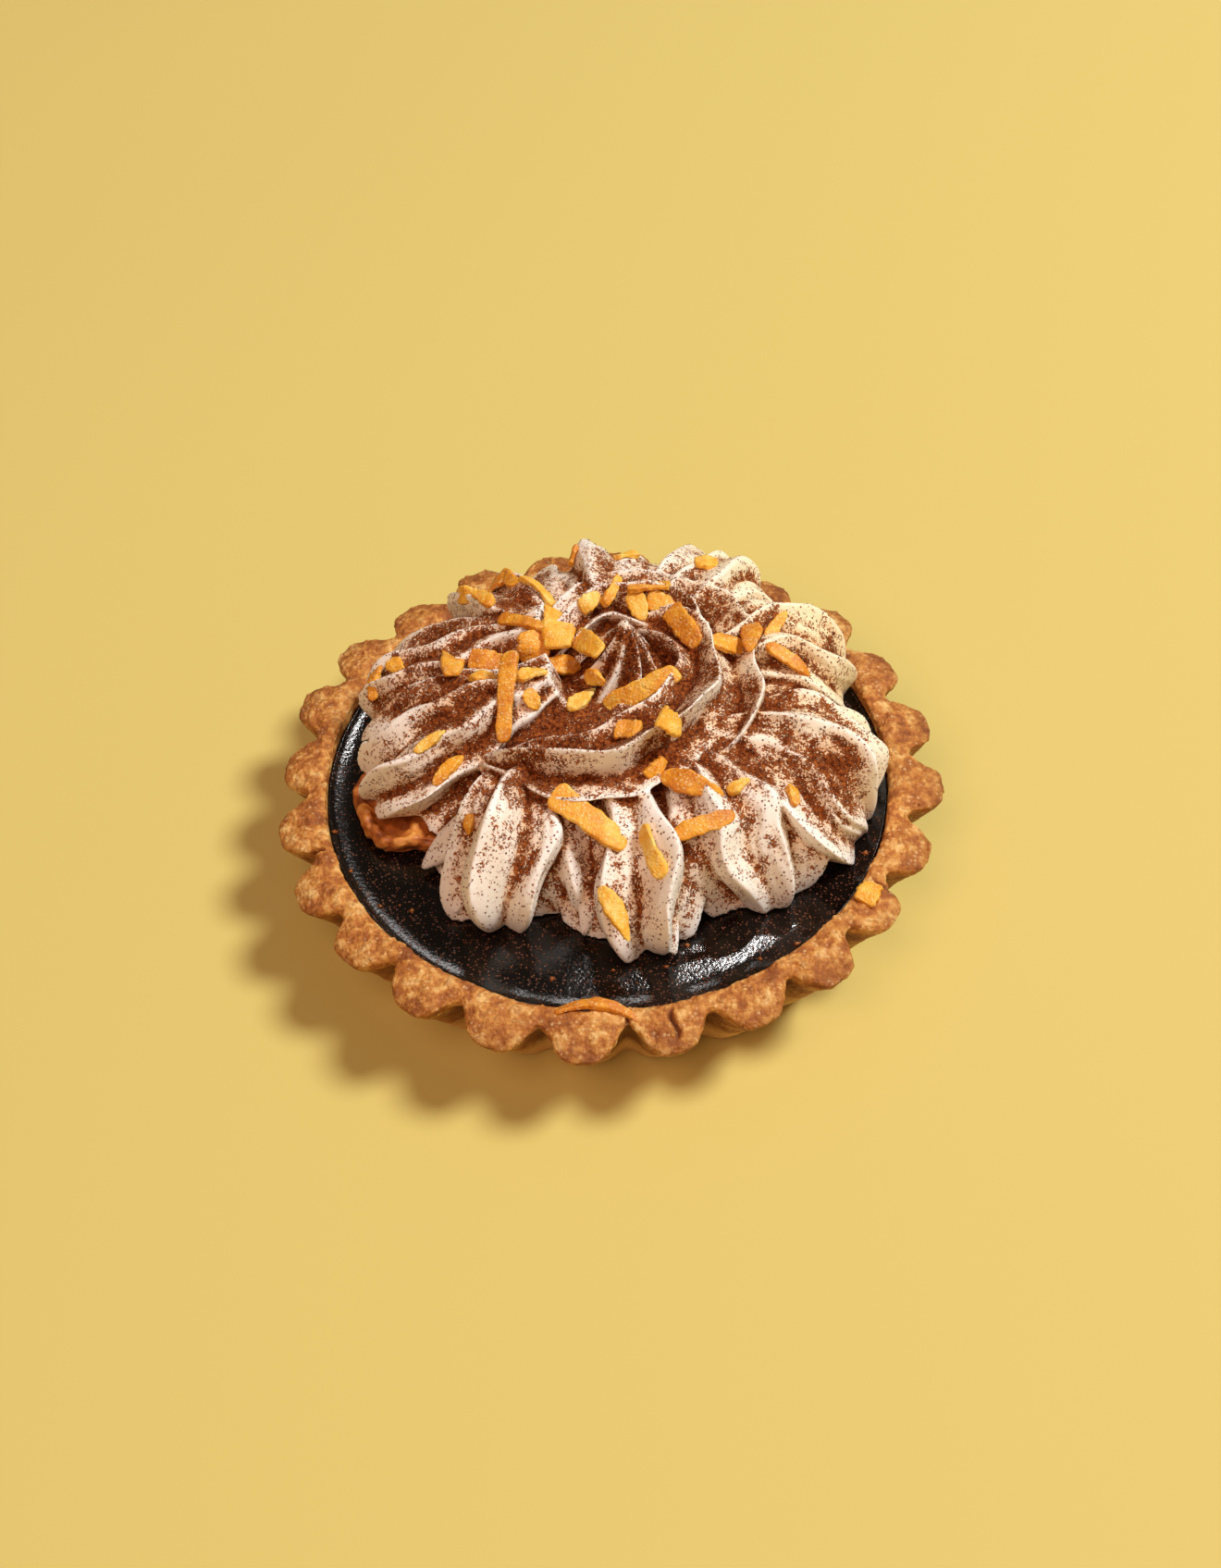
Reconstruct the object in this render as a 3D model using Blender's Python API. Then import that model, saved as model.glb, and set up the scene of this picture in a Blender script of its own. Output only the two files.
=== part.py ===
"""A small fluted tart: a shortcrust shell filled level with dark ganache, a mound of piped
whipped cream, chopped candied peel on top and one slice of dried fruit tucked under the cream.

The origin is the middle of the base. X runs to the right, Y to the back and Z up."""

import math

import bmesh
import bpy
import numpy as np
from mathutils import Matrix, Vector
from mathutils.bvhtree import BVHTree

MM = 0.001

# Shell
FLUTES = 24
FLUTE_PHASE = math.radians(-6.0)
FLUTE_FULLNESS = 1.8
NOTCH_ROUNDNESS = 1.2
RIM_TIP_RADIUS = 50.0 * MM
RIM_NOTCH_RADIUS = 45.5 * MM
BASE_TIP_RADIUS = 41.8 * MM
BASE_NOTCH_RADIUS = 39.8 * MM
SHELL_HEIGHT = 15.6 * MM
CAVITY_RADIUS = 42.4 * MM
CAVITY_FLOOR_RADIUS = 37.0 * MM
FLOOR_THICKNESS = 3.5 * MM
SAMPLES_PER_FLUTE = 6

# Filling
FILL_LEVEL = 13.2 * MM
FILL_EDGE_RISE = 0.7 * MM
FILL_EDGE_WIDTH = 1.0 * MM
FIT_GAP = 0.3 * MM

# Cream
CREAM_BASE = FILL_LEVEL + FIT_GAP
CREAM_FOOT_RADIUS = 40.7 * MM
CREAM_OVERHANG_RADIUS = 45.5 * MM
RIDGE_UNEVENNESS = 0.09
SAMPLES_PER_RIDGE = 3
STEPS_ALONG_SHELL = 9
STEPS_ALONG_ROPE = 16

# How far the piped cream is out of true, and over what length
SAG = 0.75 * MM
SAG_LENGTH = 3.4 * MM

# Peel and fruit
PEEL_THICKNESS = 1.1 * MM
PEEL_SINK = 0.35 * MM
PEEL_BOW = 0.07
PEEL_BEND = 0.14
SLICE_CENTRE = np.array([-28.2, -3.0, 15.0]) * MM
SLICE_RADIUS = 9.8 * MM
SLICE_THICKNESS = 3.0 * MM


def clear_scene():
    for obj in list(bpy.data.objects):
        bpy.data.objects.remove(obj, do_unlink=True)


def material(name, colour, roughness):
    made = bpy.data.materials.new(name)
    made.use_nodes = True
    shader = made.node_tree.nodes["Principled BSDF"]
    shader.inputs["Base Color"].default_value = (*colour, 1.0)
    shader.inputs["Roughness"].default_value = roughness
    shader.inputs["Metallic"].default_value = 0.0
    return made


def new_object(name, points, faces, finish=None):
    mesh = bpy.data.meshes.new(name)
    mesh.from_pydata([tuple(p) for p in points], [], faces)
    mesh.validate()
    obj = bpy.data.objects.new(name, mesh)
    bpy.context.scene.collection.objects.link(obj)
    if finish is not None:
        mesh.materials.append(finish)
    return obj


def closed_rings(rings, wrap=False):
    """Faces that join rings of equal size, and a fan to a pole at each end unless they wrap round."""
    count, around = len(rings), len(rings[0])
    points = [p for ring in rings for p in ring]
    faces = []
    for i in range(count if wrap else count - 1):
        for j in range(around):
            a, b = i * around + j, i * around + (j + 1) % around
            c, d = (i + 1) % count * around + j, (i + 1) % count * around + (j + 1) % around
            faces.append((a, b, d, c))
    if wrap:
        return points, faces
    for ring, flip in ((0, True), (count - 1, False)):
        points.append(np.mean(rings[ring], axis=0))
        pole = len(points) - 1
        for j in range(around):
            a, b = ring * around + j, ring * around + (j + 1) % around
            faces.append((b, a, pole) if flip else (a, b, pole))
    return points, faces


# The shell and its filling


def flute_wave(angle):
    """1 on the tip of a flute and 0 in a notch: broad round tips and narrow round notches."""
    turns = FLUTES * (angle - FLUTE_PHASE) / (2.0 * math.pi)
    off_tip = 2.0 * abs(turns - round(turns))
    return (0.5 + 0.5 * math.cos(math.pi * off_tip**FLUTE_FULLNESS)) ** NOTCH_ROUNDNESS


def flute_wander(angle):
    """How far a hand-pressed rim strays from its circle, in metres."""
    return 0.45 * MM * math.sin(3.0 * angle + 0.6) + 0.3 * MM * math.sin(7.0 * angle + 2.0)


def shell_profile(angle):
    """The outline of the pastry at one angle, as (radius, height), from the base's middle outwards,
    up the fluted wall, over the lip and down the cavity to its floor."""
    wave, wander = flute_wave(angle), flute_wander(angle)
    base = BASE_NOTCH_RADIUS + (BASE_TIP_RADIUS - BASE_NOTCH_RADIUS) * wave + 0.5 * wander
    rim = RIM_NOTCH_RADIUS + (RIM_TIP_RADIUS - RIM_NOTCH_RADIUS) * wave + wander
    top = SHELL_HEIGHT + 0.25 * MM * math.sin(5.0 * angle)
    lip_width = rim - CAVITY_RADIUS
    tip_drop = (0.5 + 0.9 * wave) * MM
    hollow = (1.0 - wave) * MM
    return [
        (base - 1.1 * MM, 0.0),
        (base, 0.9 * MM),
        (base + 0.6 * (rim - base) - 0.9 * hollow, 0.58 * top),
        (rim - 0.7 * MM - 0.4 * hollow, top - tip_drop - 1.6 * MM),
        (rim, top - tip_drop - 0.4 * MM),
        (rim - 0.16 * lip_width, top - 0.5 * tip_drop),
        (CAVITY_RADIUS + 0.45 * lip_width, top),
        (CAVITY_RADIUS + 0.12 * lip_width, top - 0.6 * MM),
        (CAVITY_RADIUS, FILL_LEVEL + FILL_EDGE_RISE + 0.1 * MM),
        (CAVITY_FLOOR_RADIUS, FLOOR_THICKNESS),
    ]


def make_crust(finish):
    rings = []
    steps = FLUTES * SAMPLES_PER_FLUTE
    angles = [FLUTE_PHASE + 2.0 * math.pi * i / steps for i in range(steps)]
    outlines = [shell_profile(a) for a in angles]
    for level in range(len(outlines[0])):
        ring = []
        for angle, outline in zip(angles, outlines):
            radius, height = outline[level]
            ring.append((radius * math.cos(angle), radius * math.sin(angle), height))
        rings.append(ring)
    points, faces = closed_rings(rings)
    return new_object("crust", points, faces, finish)


def make_filling(finish):
    """The ganache: level in the middle, drawn up a little where it meets the pastry."""
    around = 60
    floor = FLOOR_THICKNESS + FIT_GAP
    slope = (CAVITY_RADIUS - CAVITY_FLOOR_RADIUS) / (FILL_LEVEL + FILL_EDGE_RISE - FLOOR_THICKNESS)
    top_radius = CAVITY_RADIUS - FIT_GAP - slope * FIT_GAP
    profile = [
        (CAVITY_FLOOR_RADIUS - 0.5 * MM, floor),
        (top_radius, FILL_LEVEL + FILL_EDGE_RISE),
        (top_radius - 0.5 * FILL_EDGE_WIDTH, FILL_LEVEL + 0.35 * FILL_EDGE_RISE),
        (top_radius - FILL_EDGE_WIDTH, FILL_LEVEL),
    ]
    rings = []
    for radius, height in profile:
        turns = [2.0 * math.pi * i / around for i in range(around)]
        rings.append([(radius * math.cos(a), radius * math.sin(a), height) for a in turns])
    points, faces = closed_rings(rings)
    return new_object("filling", points, faces, finish)


# The piped cream

# Each shell: belly's middle (x, y, z), belly radius, tail (x, y, z), ridges, depth of the grooves
# as a share of the radius, twist in degrees, and how sharp the ridges are, from 0 for round
# fingers to 1 for thin crests
SHELLS = {
    "left_back": ((-27.5, 15.0, 18.5), 10.6, (-7.0, 17.5, 29.0), 8, 0.34, 26, 0.8),
    "left": ((-25.2, 0.0, 18.5), 12.8, (-6.0, 6.5, 29.5), 9, 0.36, 34, 0.75),
    "front_left": ((-13.5, -16.5, 18.2), 12.8, (-8.0, -4.0, 26.0), 8, 0.40, -16, 0.5),
    "front_gap": ((-4.0, -18.0, 17.5), 9.6, (-3.0, -5.0, 24.0), 6, 0.36, -24, 0.6),
    "front": ((4.6, -22.2, 17.5), 12.0, (1.5, -8.0, 25.0), 7, 0.40, 30, 0.75),
    "front_right": ((17.5, -15.0, 18.5), 13.6, (9.0, -3.0, 26.0), 9, 0.25, 28, 0.75),
    "right": ((27.0, -6.0, 18.5), 15.0, (13.0, -1.0, 26.0), 12, 0.21, 10, 0.8),
    "right_back": ((26.0, 13.5, 19.5), 13.0, (13.0, 8.0, 27.0), 11, 0.26, 24, 0.7),
    "back_right": ((16.0, 27.0, 20.0), 13.2, (8.0, 14.0, 27.0), 12, 0.24, 20, 0.6),
    "back": ((1.5, 29.2, 18.5), 12.8, (2.0, 15.0, 26.0), 10, 0.18, 22, 0.3),
    "back_left": ((-11.8, 27.6, 18.5), 11.8, (-5.0, 15.0, 27.0), 9, 0.30, -12, 0.7),
}

# The two piped ropes on top: the points of their middle lines, and their radius there
CURL_LINE = [
    ((-17.0, -5.0, 24.5), 1.6),
    ((-12.0, -7.0, 24.5), 6.0),
    ((-3.0, -9.0, 24.5), 9.2),
    ((5.0, -7.0, 24.5), 9.8),
    ((10.5, -1.0, 25.5), 9.2),
    ((13.0, 6.0, 26.0), 8.2),
    ((11.0, 12.5, 26.5), 7.0),
    ((5.0, 15.0, 27.0), 4.0),
]
LOOP_LINE = [
    ((14.0, -12.0, 21.0), 4.0),
    ((18.0, -4.0, 22.5), 8.0),
    ((19.5, 4.0, 23.5), 9.0),
    ((17.5, 12.5, 24.0), 9.4),
    ((11.5, 18.5, 24.5), 9.4),
    ((3.0, 20.0, 25.0), 8.6),
    ((-4.0, 16.5, 25.5), 7.0),
    ((-7.0, 11.0, 25.5), 4.0),
]
ROPE_RIDGES = 8
ROPE_GROOVE = 0.46
CURL_TWIST = 40.0
LOOP_TWIST = 80.0
PEAK_BASE = np.array([2.5, 8.0, 21.0]) * MM
PEAK_LEAN = np.array([1.2, 2.6, 16.0]) * MM
PEAK_RADIUS = 10.5 * MM
PEAK_RIDGES = 7
PEAK_TWIST = 70.0
CORE_CENTRE = np.array([1.0, 6.0, 12.0]) * MM
CORE_RADIUS = 32.0 * MM
CORE_HEIGHT = 15.5 * MM

# Torn points of cream: root (x, y, z), tip (x, y, z), width at the root
SPIKES = [
    ((-20.0, -12.5, 18.5), (-27.6, -16.0, 14.6), 5.5),
    ((-19.0, -16.0, 19.0), (-22.6, -25.0, 15.4), 5.0),
    ((-2.5, -22.5, 19.0), (-4.4, -29.4, 14.2), 3.2),
    ((7.0, -27.0, 17.0), (8.4, -33.6, 14.4), 3.4),
    ((24.5, -18.0, 17.5), (26.4, -21.4, 14.8), 3.6),
]

# Chips on the cream: kind, place (x, y), length, width, heading in degrees, and how far the far
# end is lifted, in degrees
CHIPS = [
    ("oval", -15.0, 33.0, 5.0, 2.5, 15, 0),
    ("block", -20.0, 28.5, 3.7, 2.8, -40, 0),
    ("strip", -13.5, 32.5, 7.0, 2.3, -68, 0),
    ("strip", -9.6, 26.6, 8.0, 1.8, -52, 0),
    ("oval", -17.4, 24.9, 5.9, 2.3, -60, 0),
    ("strip", -11.5, 17.3, 8.6, 2.1, -33, 0),
    ("block", -6.4, 15.7, 8.2, 4.8, -94, 8),
    ("strip", -10.0, 13.5, 5.8, 4.8, -88, 0),
    ("strip", -1.3, 19.8, 3.9, 2.5, 36, 0),
    ("strip", 1.8, 21.4, 6.3, 1.5, 72, 12),
    ("petal", -3.0, 34.0, 3.7, 1.6, 60, 0),
    ("strip", 4.9, 35.0, 4.5, 1.6, 30, 0),
    ("strip", -22.5, 11.9, 8.9, 3.4, -93, 20),
    ("block", -17.4, 13.1, 5.0, 3.2, -6, 0),
    ("petal", -17.7, 7.5, 4.5, 2.5, -10, 0),
    ("strip", -13.8, 2.8, 14.0, 2.5, -97, 0),
    ("petal", -10.2, 5.6, 4.8, 2.3, 8, 0),
    ("petal", -10.4, 2.3, 3.5, 2.5, -54, 0),
    ("oval", -6.5, 10.5, 6.9, 3.2, 8, 0),
    ("strip", -1.5, 11.5, 9.3, 3.4, -58, 10),
    ("petal", -0.6, 6.8, 3.9, 2.3, -40, 0),
    ("petal", -3.1, 4.1, 5.6, 2.5, 46, 0),
    ("strip", 6.0, 3.8, 12.3, 3.2, 10, 0),
    ("block", 3.5, -5.9, 3.7, 3.2, -20, 0),
    ("petal", -25.3, -3.3, 5.6, 1.6, 33, 0),
    ("oval", -22.8, -6.1, 6.2, 2.1, 47, 0),
    ("strip", -34.0, 13.0, 6.9, 1.7, -95, 0),
    ("petal", -31.0, 16.8, 3.7, 2.5, -51, 0),
    ("strip", 7.8, 21.2, 6.7, 2.8, 0, 0),
    ("petal", 6.1, 19.2, 5.4, 3.1, -70, 0),
    ("block", 9.5, 19.3, 5.0, 3.4, -30, 0),
    ("strip", 12.9, 13.7, 8.3, 3.4, -63, 0),
    ("block", 16.9, 29.0, 3.9, 2.8, 10, 0),
    ("oval", 18.4, 9.8, 6.7, 3.2, 14, 0),
    ("petal", 22.5, 10.9, 8.2, 3.1, -97, 15),
    ("petal", 26.3, 14.6, 5.9, 2.0, 56, 20),
    ("petal", 27.5, 9.0, 8.2, 2.4, -24, 0),
    ("block", 8.8, -8.0, 4.8, 3.2, 10, 0),
    ("block", 7.0, -11.2, 3.9, 3.1, 45, 0),
    ("petal", 12.1, -14.3, 9.7, 3.4, -27, 0),
    ("petal", 18.7, -15.3, 3.7, 1.8, 30, 0),
    ("oval", 13.0, -21.2, 9.7, 2.6, 15, 0),
    ("strip", 6.4, -24.4, 8.1, 2.6, -71, 0),
    ("strip", -2.9, -18.8, 13.1, 3.8, -38, 0),
    ("petal", -19.5, -16.1, 3.5, 1.6, -88, 20),
    ("petal", 0.0, -31.2, 8.8, 2.8, -62, 0),
    ("oval", 25.8, -15.7, 4.0, 1.6, -85, 10),
]

# Chips that lie on the pastry's edge
RIM_CHIPS = [
    ("arc", -3.0, -43.9, 12.0, 1.7, -9, 0),
    ("block", 36.6, -25.4, 3.9, 3.3, 60, 0),
]


def sagged(rings, seed):
    """The rings with every point moved a little, so that no two ridges run alike."""
    points = np.asarray(rings)
    x, y, z = np.moveaxis(points, -1, 0) / SAG_LENGTH
    shift = np.stack([
        np.sin(0.9 * y + 0.7 * z + seed) + 0.6 * np.sin(1.7 * y - 1.3 * x + 2.0 * seed),
        np.sin(0.8 * x - 0.9 * z + 1.3 * seed) + 0.6 * np.sin(1.9 * x + 1.1 * y + seed),
        0.7 * np.sin(0.7 * x + 0.8 * y + 1.7 * seed),
    ], -1)
    return points + SAG * shift


def star(turn, ridges, depth, sharp, seed):
    """A star nozzle's outline with uneven ridges, as a share of its radius."""
    phase = 0.5 * ridges * turn
    groove = sharp * np.abs(np.sin(phase)) + (1.0 - sharp) * (1.0 - np.abs(np.cos(phase)))
    ridge = np.round(turn * ridges / (2.0 * math.pi)) % ridges
    gain = RIDGE_UNEVENNESS * np.sin(2.4 * ridge + seed)
    return 1.0 - depth * groove + gain * (1.0 - groove)


def circle(count):
    """Evenly spaced angles once round."""
    return np.linspace(0.0, 2.0 * math.pi, count, endpoint=False)


def smooth_line(points, steps):
    """Evenly stepped points on a Catmull-Rom curve through the given points."""
    points = [np.array(p, float) for p in points]
    ends = [2 * points[0] - points[1], *points, 2 * points[-1] - points[-2]]
    spans = len(points) - 1
    line = []
    for i in range(steps + 1):
        at = min(i * spans / steps, spans - 1e-9)
        k, t = int(at), at - int(at)
        a, b, c, d = ends[k : k + 4]
        line.append(
            0.5 * (2 * b + (c - a) * t + (2 * a - 5 * b + 4 * c - d) * t**2 + (3 * b - a - 3 * c + d) * t**3)
        )
    return np.array(line)


def rope_rings(line, radii, ridges, depths, twist, sharp, seed):
    """Star-shaped rings round a middle line. A ridge starts on top, and all turn by twist."""
    turn = circle(ridges * SAMPLES_PER_RIDGE)
    rings = []
    for i, (middle, radius, depth) in enumerate(zip(line, radii, depths)):
        along = line[min(i + 1, len(line) - 1)] - line[max(i - 1, 0)]
        along = along / np.linalg.norm(along)
        side = np.cross(along, (0.0, 0.0, 1.0))
        side = side / np.linalg.norm(side)
        up = np.cross(side, along)
        share = i / (len(line) - 1)
        uneven = 0.04 * np.sin(2.0 * turn + seed) + 0.03 * np.sin(3.0 * turn + 2 * seed)
        reach = radius * (star(turn, ridges, depth, sharp, seed) + uneven)
        at = turn + math.radians(twist) * share
        rings.append(middle + reach[:, None] * (np.cos(at)[:, None] * up + np.sin(at)[:, None] * side))
    return sagged(rings, seed)


def shell_swell(share):
    """The radius along a piped shell, as a share of its belly's: round at the heel, thin at the tail."""
    belly = 0.34
    if share < belly:
        return math.sqrt(max(0.0, 1.0 - (1.0 - share / belly) ** 2))
    fall = (share - belly) / (1.0 - belly)
    return 0.32 + 0.68 * (0.5 + 0.5 * math.cos(math.pi * fall)) ** 0.85


def make_shell(name, seed, belly, radius, tail, ridges, groove, twist, sharp):
    """A piped shell: its ridges run from under its heel, over its belly, to its tail."""
    belly, tail = np.array(belly) * MM, np.array(tail) * MM
    radius *= MM
    inward = tail[:2] - belly[:2]
    inward = inward / np.linalg.norm(inward)
    heel = belly - np.array([*(inward * 0.66 * radius), 0.7 * radius])
    crown = belly + np.array([*(inward * 0.2 * radius), 0.1 * radius])
    line = smooth_line([heel, crown, tail], STEPS_ALONG_SHELL)[1:]
    shares = [(i + 1) / STEPS_ALONG_SHELL for i in range(STEPS_ALONG_SHELL)]
    radii = [radius * shell_swell(share) for share in shares]
    depths = [groove * (1.15 - 0.5 * share) for share in shares]
    points, faces = closed_rings(rope_rings(line, radii, ridges, depths, twist, sharp, seed))
    return new_object("shell_" + name, points, faces)


def make_rope(name, route, twist, seed):
    line = smooth_line([np.array(p) * MM for p, _ in route], STEPS_ALONG_ROPE)
    radii = smooth_line([[r * MM] for _, r in route], STEPS_ALONG_ROPE)[:, 0]
    depths = [ROPE_GROOVE] * len(radii)
    points, faces = closed_rings(rope_rings(line, radii, ROPE_RIDGES, depths, twist, 1.0, seed))
    return new_object(name, points, faces)


def make_peak():
    """The tip that the nozzle leaves when it is pulled away: a leaning cone of curved ridges."""
    steps = 7
    turn = circle(PEAK_RIDGES * SAMPLES_PER_RIDGE)
    rings = []
    for share in np.linspace(0.0, 1.0, steps):
        middle = PEAK_BASE + PEAK_LEAN * np.array([share, share**1.6, share])
        radius = PEAK_RADIUS * (1.0 - share) ** 0.85 + 0.3 * MM
        at = turn + math.radians(PEAK_TWIST) * share
        reach = radius * star(turn, PEAK_RIDGES, ROPE_GROOVE, 0.8, 3)
        rings.append(middle + np.stack([reach * np.cos(at), reach * np.sin(at), np.zeros(len(turn))], 1))
    points, faces = closed_rings(rings)
    return new_object("peak", points, faces)


def make_core():
    """The solid middle of the mound, under the shells and the ropes."""
    turn, levels = circle(30), 5
    rings = []
    for i in range(levels):
        tilt = 0.5 * math.pi * i / levels
        reach, height = CORE_RADIUS * math.cos(tilt), CORE_HEIGHT * math.sin(tilt)
        flat = [reach * np.cos(turn), reach * np.sin(turn), np.full(len(turn), height)]
        rings.append(CORE_CENTRE + np.stack(flat, 1))
    points, faces = closed_rings(rings)
    return new_object("whipped_cream", points, faces)


def make_spike(root, tip, width):
    """A torn point of cream that droops to its tip."""
    root, tip = np.array(root) * MM, np.array(tip) * MM
    along = (tip - root) / np.linalg.norm(tip - root)
    side = np.cross(along, (0.0, 0.0, 1.0))
    side = side / np.linalg.norm(side)
    up = np.cross(side, along)
    turn = circle(8)
    rings = []
    for share in np.linspace(0.0, 1.0, 5):
        radius = 0.5 * width * MM * (1.0 - share) ** 0.7 + 0.15 * MM
        middle = root + (tip - root) * share + up * 0.12 * width * MM * math.sin(math.pi * share)
        reach = radius * (1.0 + 0.25 * np.cos(2.0 * turn))
        rings.append(middle + reach[:, None] * (np.cos(turn)[:, None] * side + np.sin(turn)[:, None] * up))
    points, faces = closed_rings(rings)
    return new_object("spike", points, faces)


def make_trimmer():
    """What the cream may fill: from just above the filling upwards, clear of the rim."""
    profile = [
        (CREAM_FOOT_RADIUS, CREAM_BASE),
        (CREAM_FOOT_RADIUS, SHELL_HEIGHT + 0.8 * MM),
        (CREAM_OVERHANG_RADIUS, SHELL_HEIGHT + 3.5 * MM),
        (CREAM_OVERHANG_RADIUS, 60.0 * MM),
    ]
    turn = circle(64)
    rings = [np.stack([r * np.cos(turn), r * np.sin(turn), np.full(len(turn), z)], 1) for r, z in profile]
    points, faces = closed_rings(rings)
    return new_object("trimmer", points, faces)


def apply_boolean(obj, operation, solver, other=None, collection=None):
    cut = obj.modifiers.new(operation.lower(), "BOOLEAN")
    cut.operation = operation
    cut.solver = solver
    if collection is None:
        cut.object = other
    else:
        cut.operand_type = "COLLECTION"
        cut.collection = collection
    graph = bpy.context.evaluated_depsgraph_get()
    made = bpy.data.meshes.new_from_object(obj.evaluated_get(graph))
    obj.modifiers.clear()
    obj.data = made


def keep_outer_body(obj):
    """Drops the walls of sealed hollows and loose scraps, so that one solid body stays."""
    bm = bmesh.new()
    bm.from_mesh(obj.data)
    bmesh.ops.triangulate(bm, faces=bm.faces)
    bm.faces.ensure_lookup_table()
    seen, groups = set(), []
    for face in bm.faces:
        if face.index in seen:
            continue
        group, todo = [], [face]
        seen.add(face.index)
        while todo:
            here = todo.pop()
            group.append(here)
            for edge in here.edges:
                for other in edge.link_faces:
                    if other.index not in seen:
                        seen.add(other.index)
                        todo.append(other)
        groups.append(group)
    largest = max(groups, key=len)
    spare = [face for group in groups if group is not largest for face in group]
    bmesh.ops.delete(bm, geom=spare, context="FACES")
    bm.to_mesh(obj.data)
    bm.free()


def move_to_collection(name, objects):
    made = bpy.data.collections.new(name)
    bpy.context.scene.collection.children.link(made)
    for obj in objects:
        bpy.context.scene.collection.objects.unlink(obj)
        made.objects.link(obj)
    return made


def fuse(obj, objects):
    """Joins objects to obj by one union, then removes them."""
    pieces = move_to_collection("pieces", objects)
    apply_boolean(obj, "UNION", "MANIFOLD", collection=pieces)
    for piece in objects:
        bpy.data.objects.remove(piece, do_unlink=True)
    bpy.data.collections.remove(pieces)


def make_cream(finish):
    cream = make_core()
    shells = [make_shell(name, 10 * i, *spec) for i, (name, spec) in enumerate(SHELLS.items())]
    ropes = [make_rope("curl", CURL_LINE, CURL_TWIST, 1), make_rope("loop", LOOP_LINE, LOOP_TWIST, 2)]
    fuse(cream, [*shells, *ropes, make_peak(), *[make_spike(*spec) for spec in SPIKES]])
    keep_outer_body(cream)
    fuse(cream, lay_chips(cream, CHIPS))
    for operation, cutter in (("INTERSECT", make_trimmer()), ("DIFFERENCE", make_slice_pocket())):
        apply_boolean(cream, operation, "MANIFOLD", other=cutter)
        bpy.data.objects.remove(cutter, do_unlink=True)
    keep_outer_body(cream)
    cream.data.materials.clear()
    cream.data.materials.append(finish)
    return cream


# Peel and fruit


def chip_mesh(kind, length, width):
    """A bowed piece of peel along X, with slanted ends and its underside's ends at height 0."""
    end_width = {"strip": 0.85, "arc": 0.85, "block": 0.95, "oval": 0.6, "petal": 0.4}[kind]
    sections = []
    for share in (-1.0, 0.0, 1.0):
        slant = 0.12 * width * share
        rise = PEEL_BOW * length * (1.0 - share * share)
        half = 0.5 * width * (1.0 - (1.0 - end_width) * abs(share))
        x = 0.5 * length * share
        aside = PEEL_BEND * length * (1.0 - share * share) if kind == "arc" else 0.0
        corners = ((x - slant, aside - half, rise), (x + slant, aside + half, rise))
        top = [(px, py, pz + PEEL_THICKNESS) for px, py, pz in reversed(corners)]
        sections.append([*corners, *top])
    points = [p for section in sections for p in section]
    faces = [(3, 2, 1, 0), (8, 9, 10, 11)]
    for i in range(2):
        for j in range(4):
            a, b = 4 * i + j, 4 * i + (j + 1) % 4
            faces.append((a, b, b + 4, a + 4))
    return points, faces


def resting_frame(tree, x, y, length, width, heading, lift):
    """How a chip lies: its axes, fitted to what is under its ends and its sides, and its middle."""
    way = Vector((math.cos(math.radians(heading)), math.sin(math.radians(heading)), 0.0))
    beside = Vector((-way.y, way.x, 0.0))

    def drop(place, default=0.0):
        found = tree.ray_cast(Vector((place.x, place.y, 60.0 * MM)), Vector((0.0, 0.0, -1.0)))[0]
        return Vector((place.x, place.y, default)) if found is None else found

    here = Vector((x, y, 0.0))
    middle = drop(here)
    near, far = (drop(here + k * 0.4 * length * way, middle.z) for k in (-1.0, 1.0))
    left, right = (drop(here + k * 0.6 * width * beside, middle.z) for k in (1.0, -1.0))
    along = (far - near).normalized()
    up = along.cross((left - right).normalized()).normalized()
    across = up.cross(along)
    turned = Matrix.Rotation(-math.radians(lift), 3, across)
    along, up = turned @ along, turned @ up
    rest = max(middle.z, 0.5 * (near.z + far.z)) - PEEL_SINK - 0.5 * PEEL_BOW * length
    return Matrix((along, across, up)).transposed(), Vector((middle.x, middle.y, rest))


def lay_chips(carrier, chips):
    """Chips lying on the carrier."""
    tree = BVHTree.FromObject(carrier, bpy.context.evaluated_depsgraph_get())
    laid = []
    for i, (kind, x, y, length, width, heading, lift) in enumerate(chips):
        length, width = length * MM, width * MM
        frame, rest = resting_frame(tree, x * MM, y * MM, length, width, heading, lift)
        points, faces = chip_mesh(kind, length, width)
        laid.append(new_object(f"chip_{i}", [frame @ Vector(p) + rest for p in points], faces))
    return laid


def slice_wave(turn):
    """The wavy round edge of a dried slice, as a share of its radius."""
    return 1.0 + 0.035 * np.sin(5.0 * turn) + 0.02 * np.sin(9.0 * turn + 1.0)


def make_slice_solid(name, grow, top, bottom, finish=None):
    turn = circle(32)
    rings = []
    edge = 0.8 * MM
    for height, inset in ((bottom, 0.6 * MM), (bottom + edge, 0.0), (top - edge, 0.0), (top, 0.6 * MM)):
        reach = (SLICE_RADIUS + grow - inset) * slice_wave(turn)
        flat = [reach * np.cos(turn), reach * np.sin(turn), np.full(len(turn), height)]
        rings.append(SLICE_CENTRE + np.stack(flat, 1))
    points, faces = closed_rings(rings)
    return new_object(name, points, faces, finish)


def make_slice(finish):
    half = 0.5 * SLICE_THICKNESS
    return make_slice_solid("fruit_slice", 0.0, half, -half, finish)


def make_slice_pocket():
    """The space that the cream leaves round the slice."""
    half = 0.5 * SLICE_THICKNESS
    return make_slice_solid("pocket", FIT_GAP, half + FIT_GAP, -half - 2.0 * MM)


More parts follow.
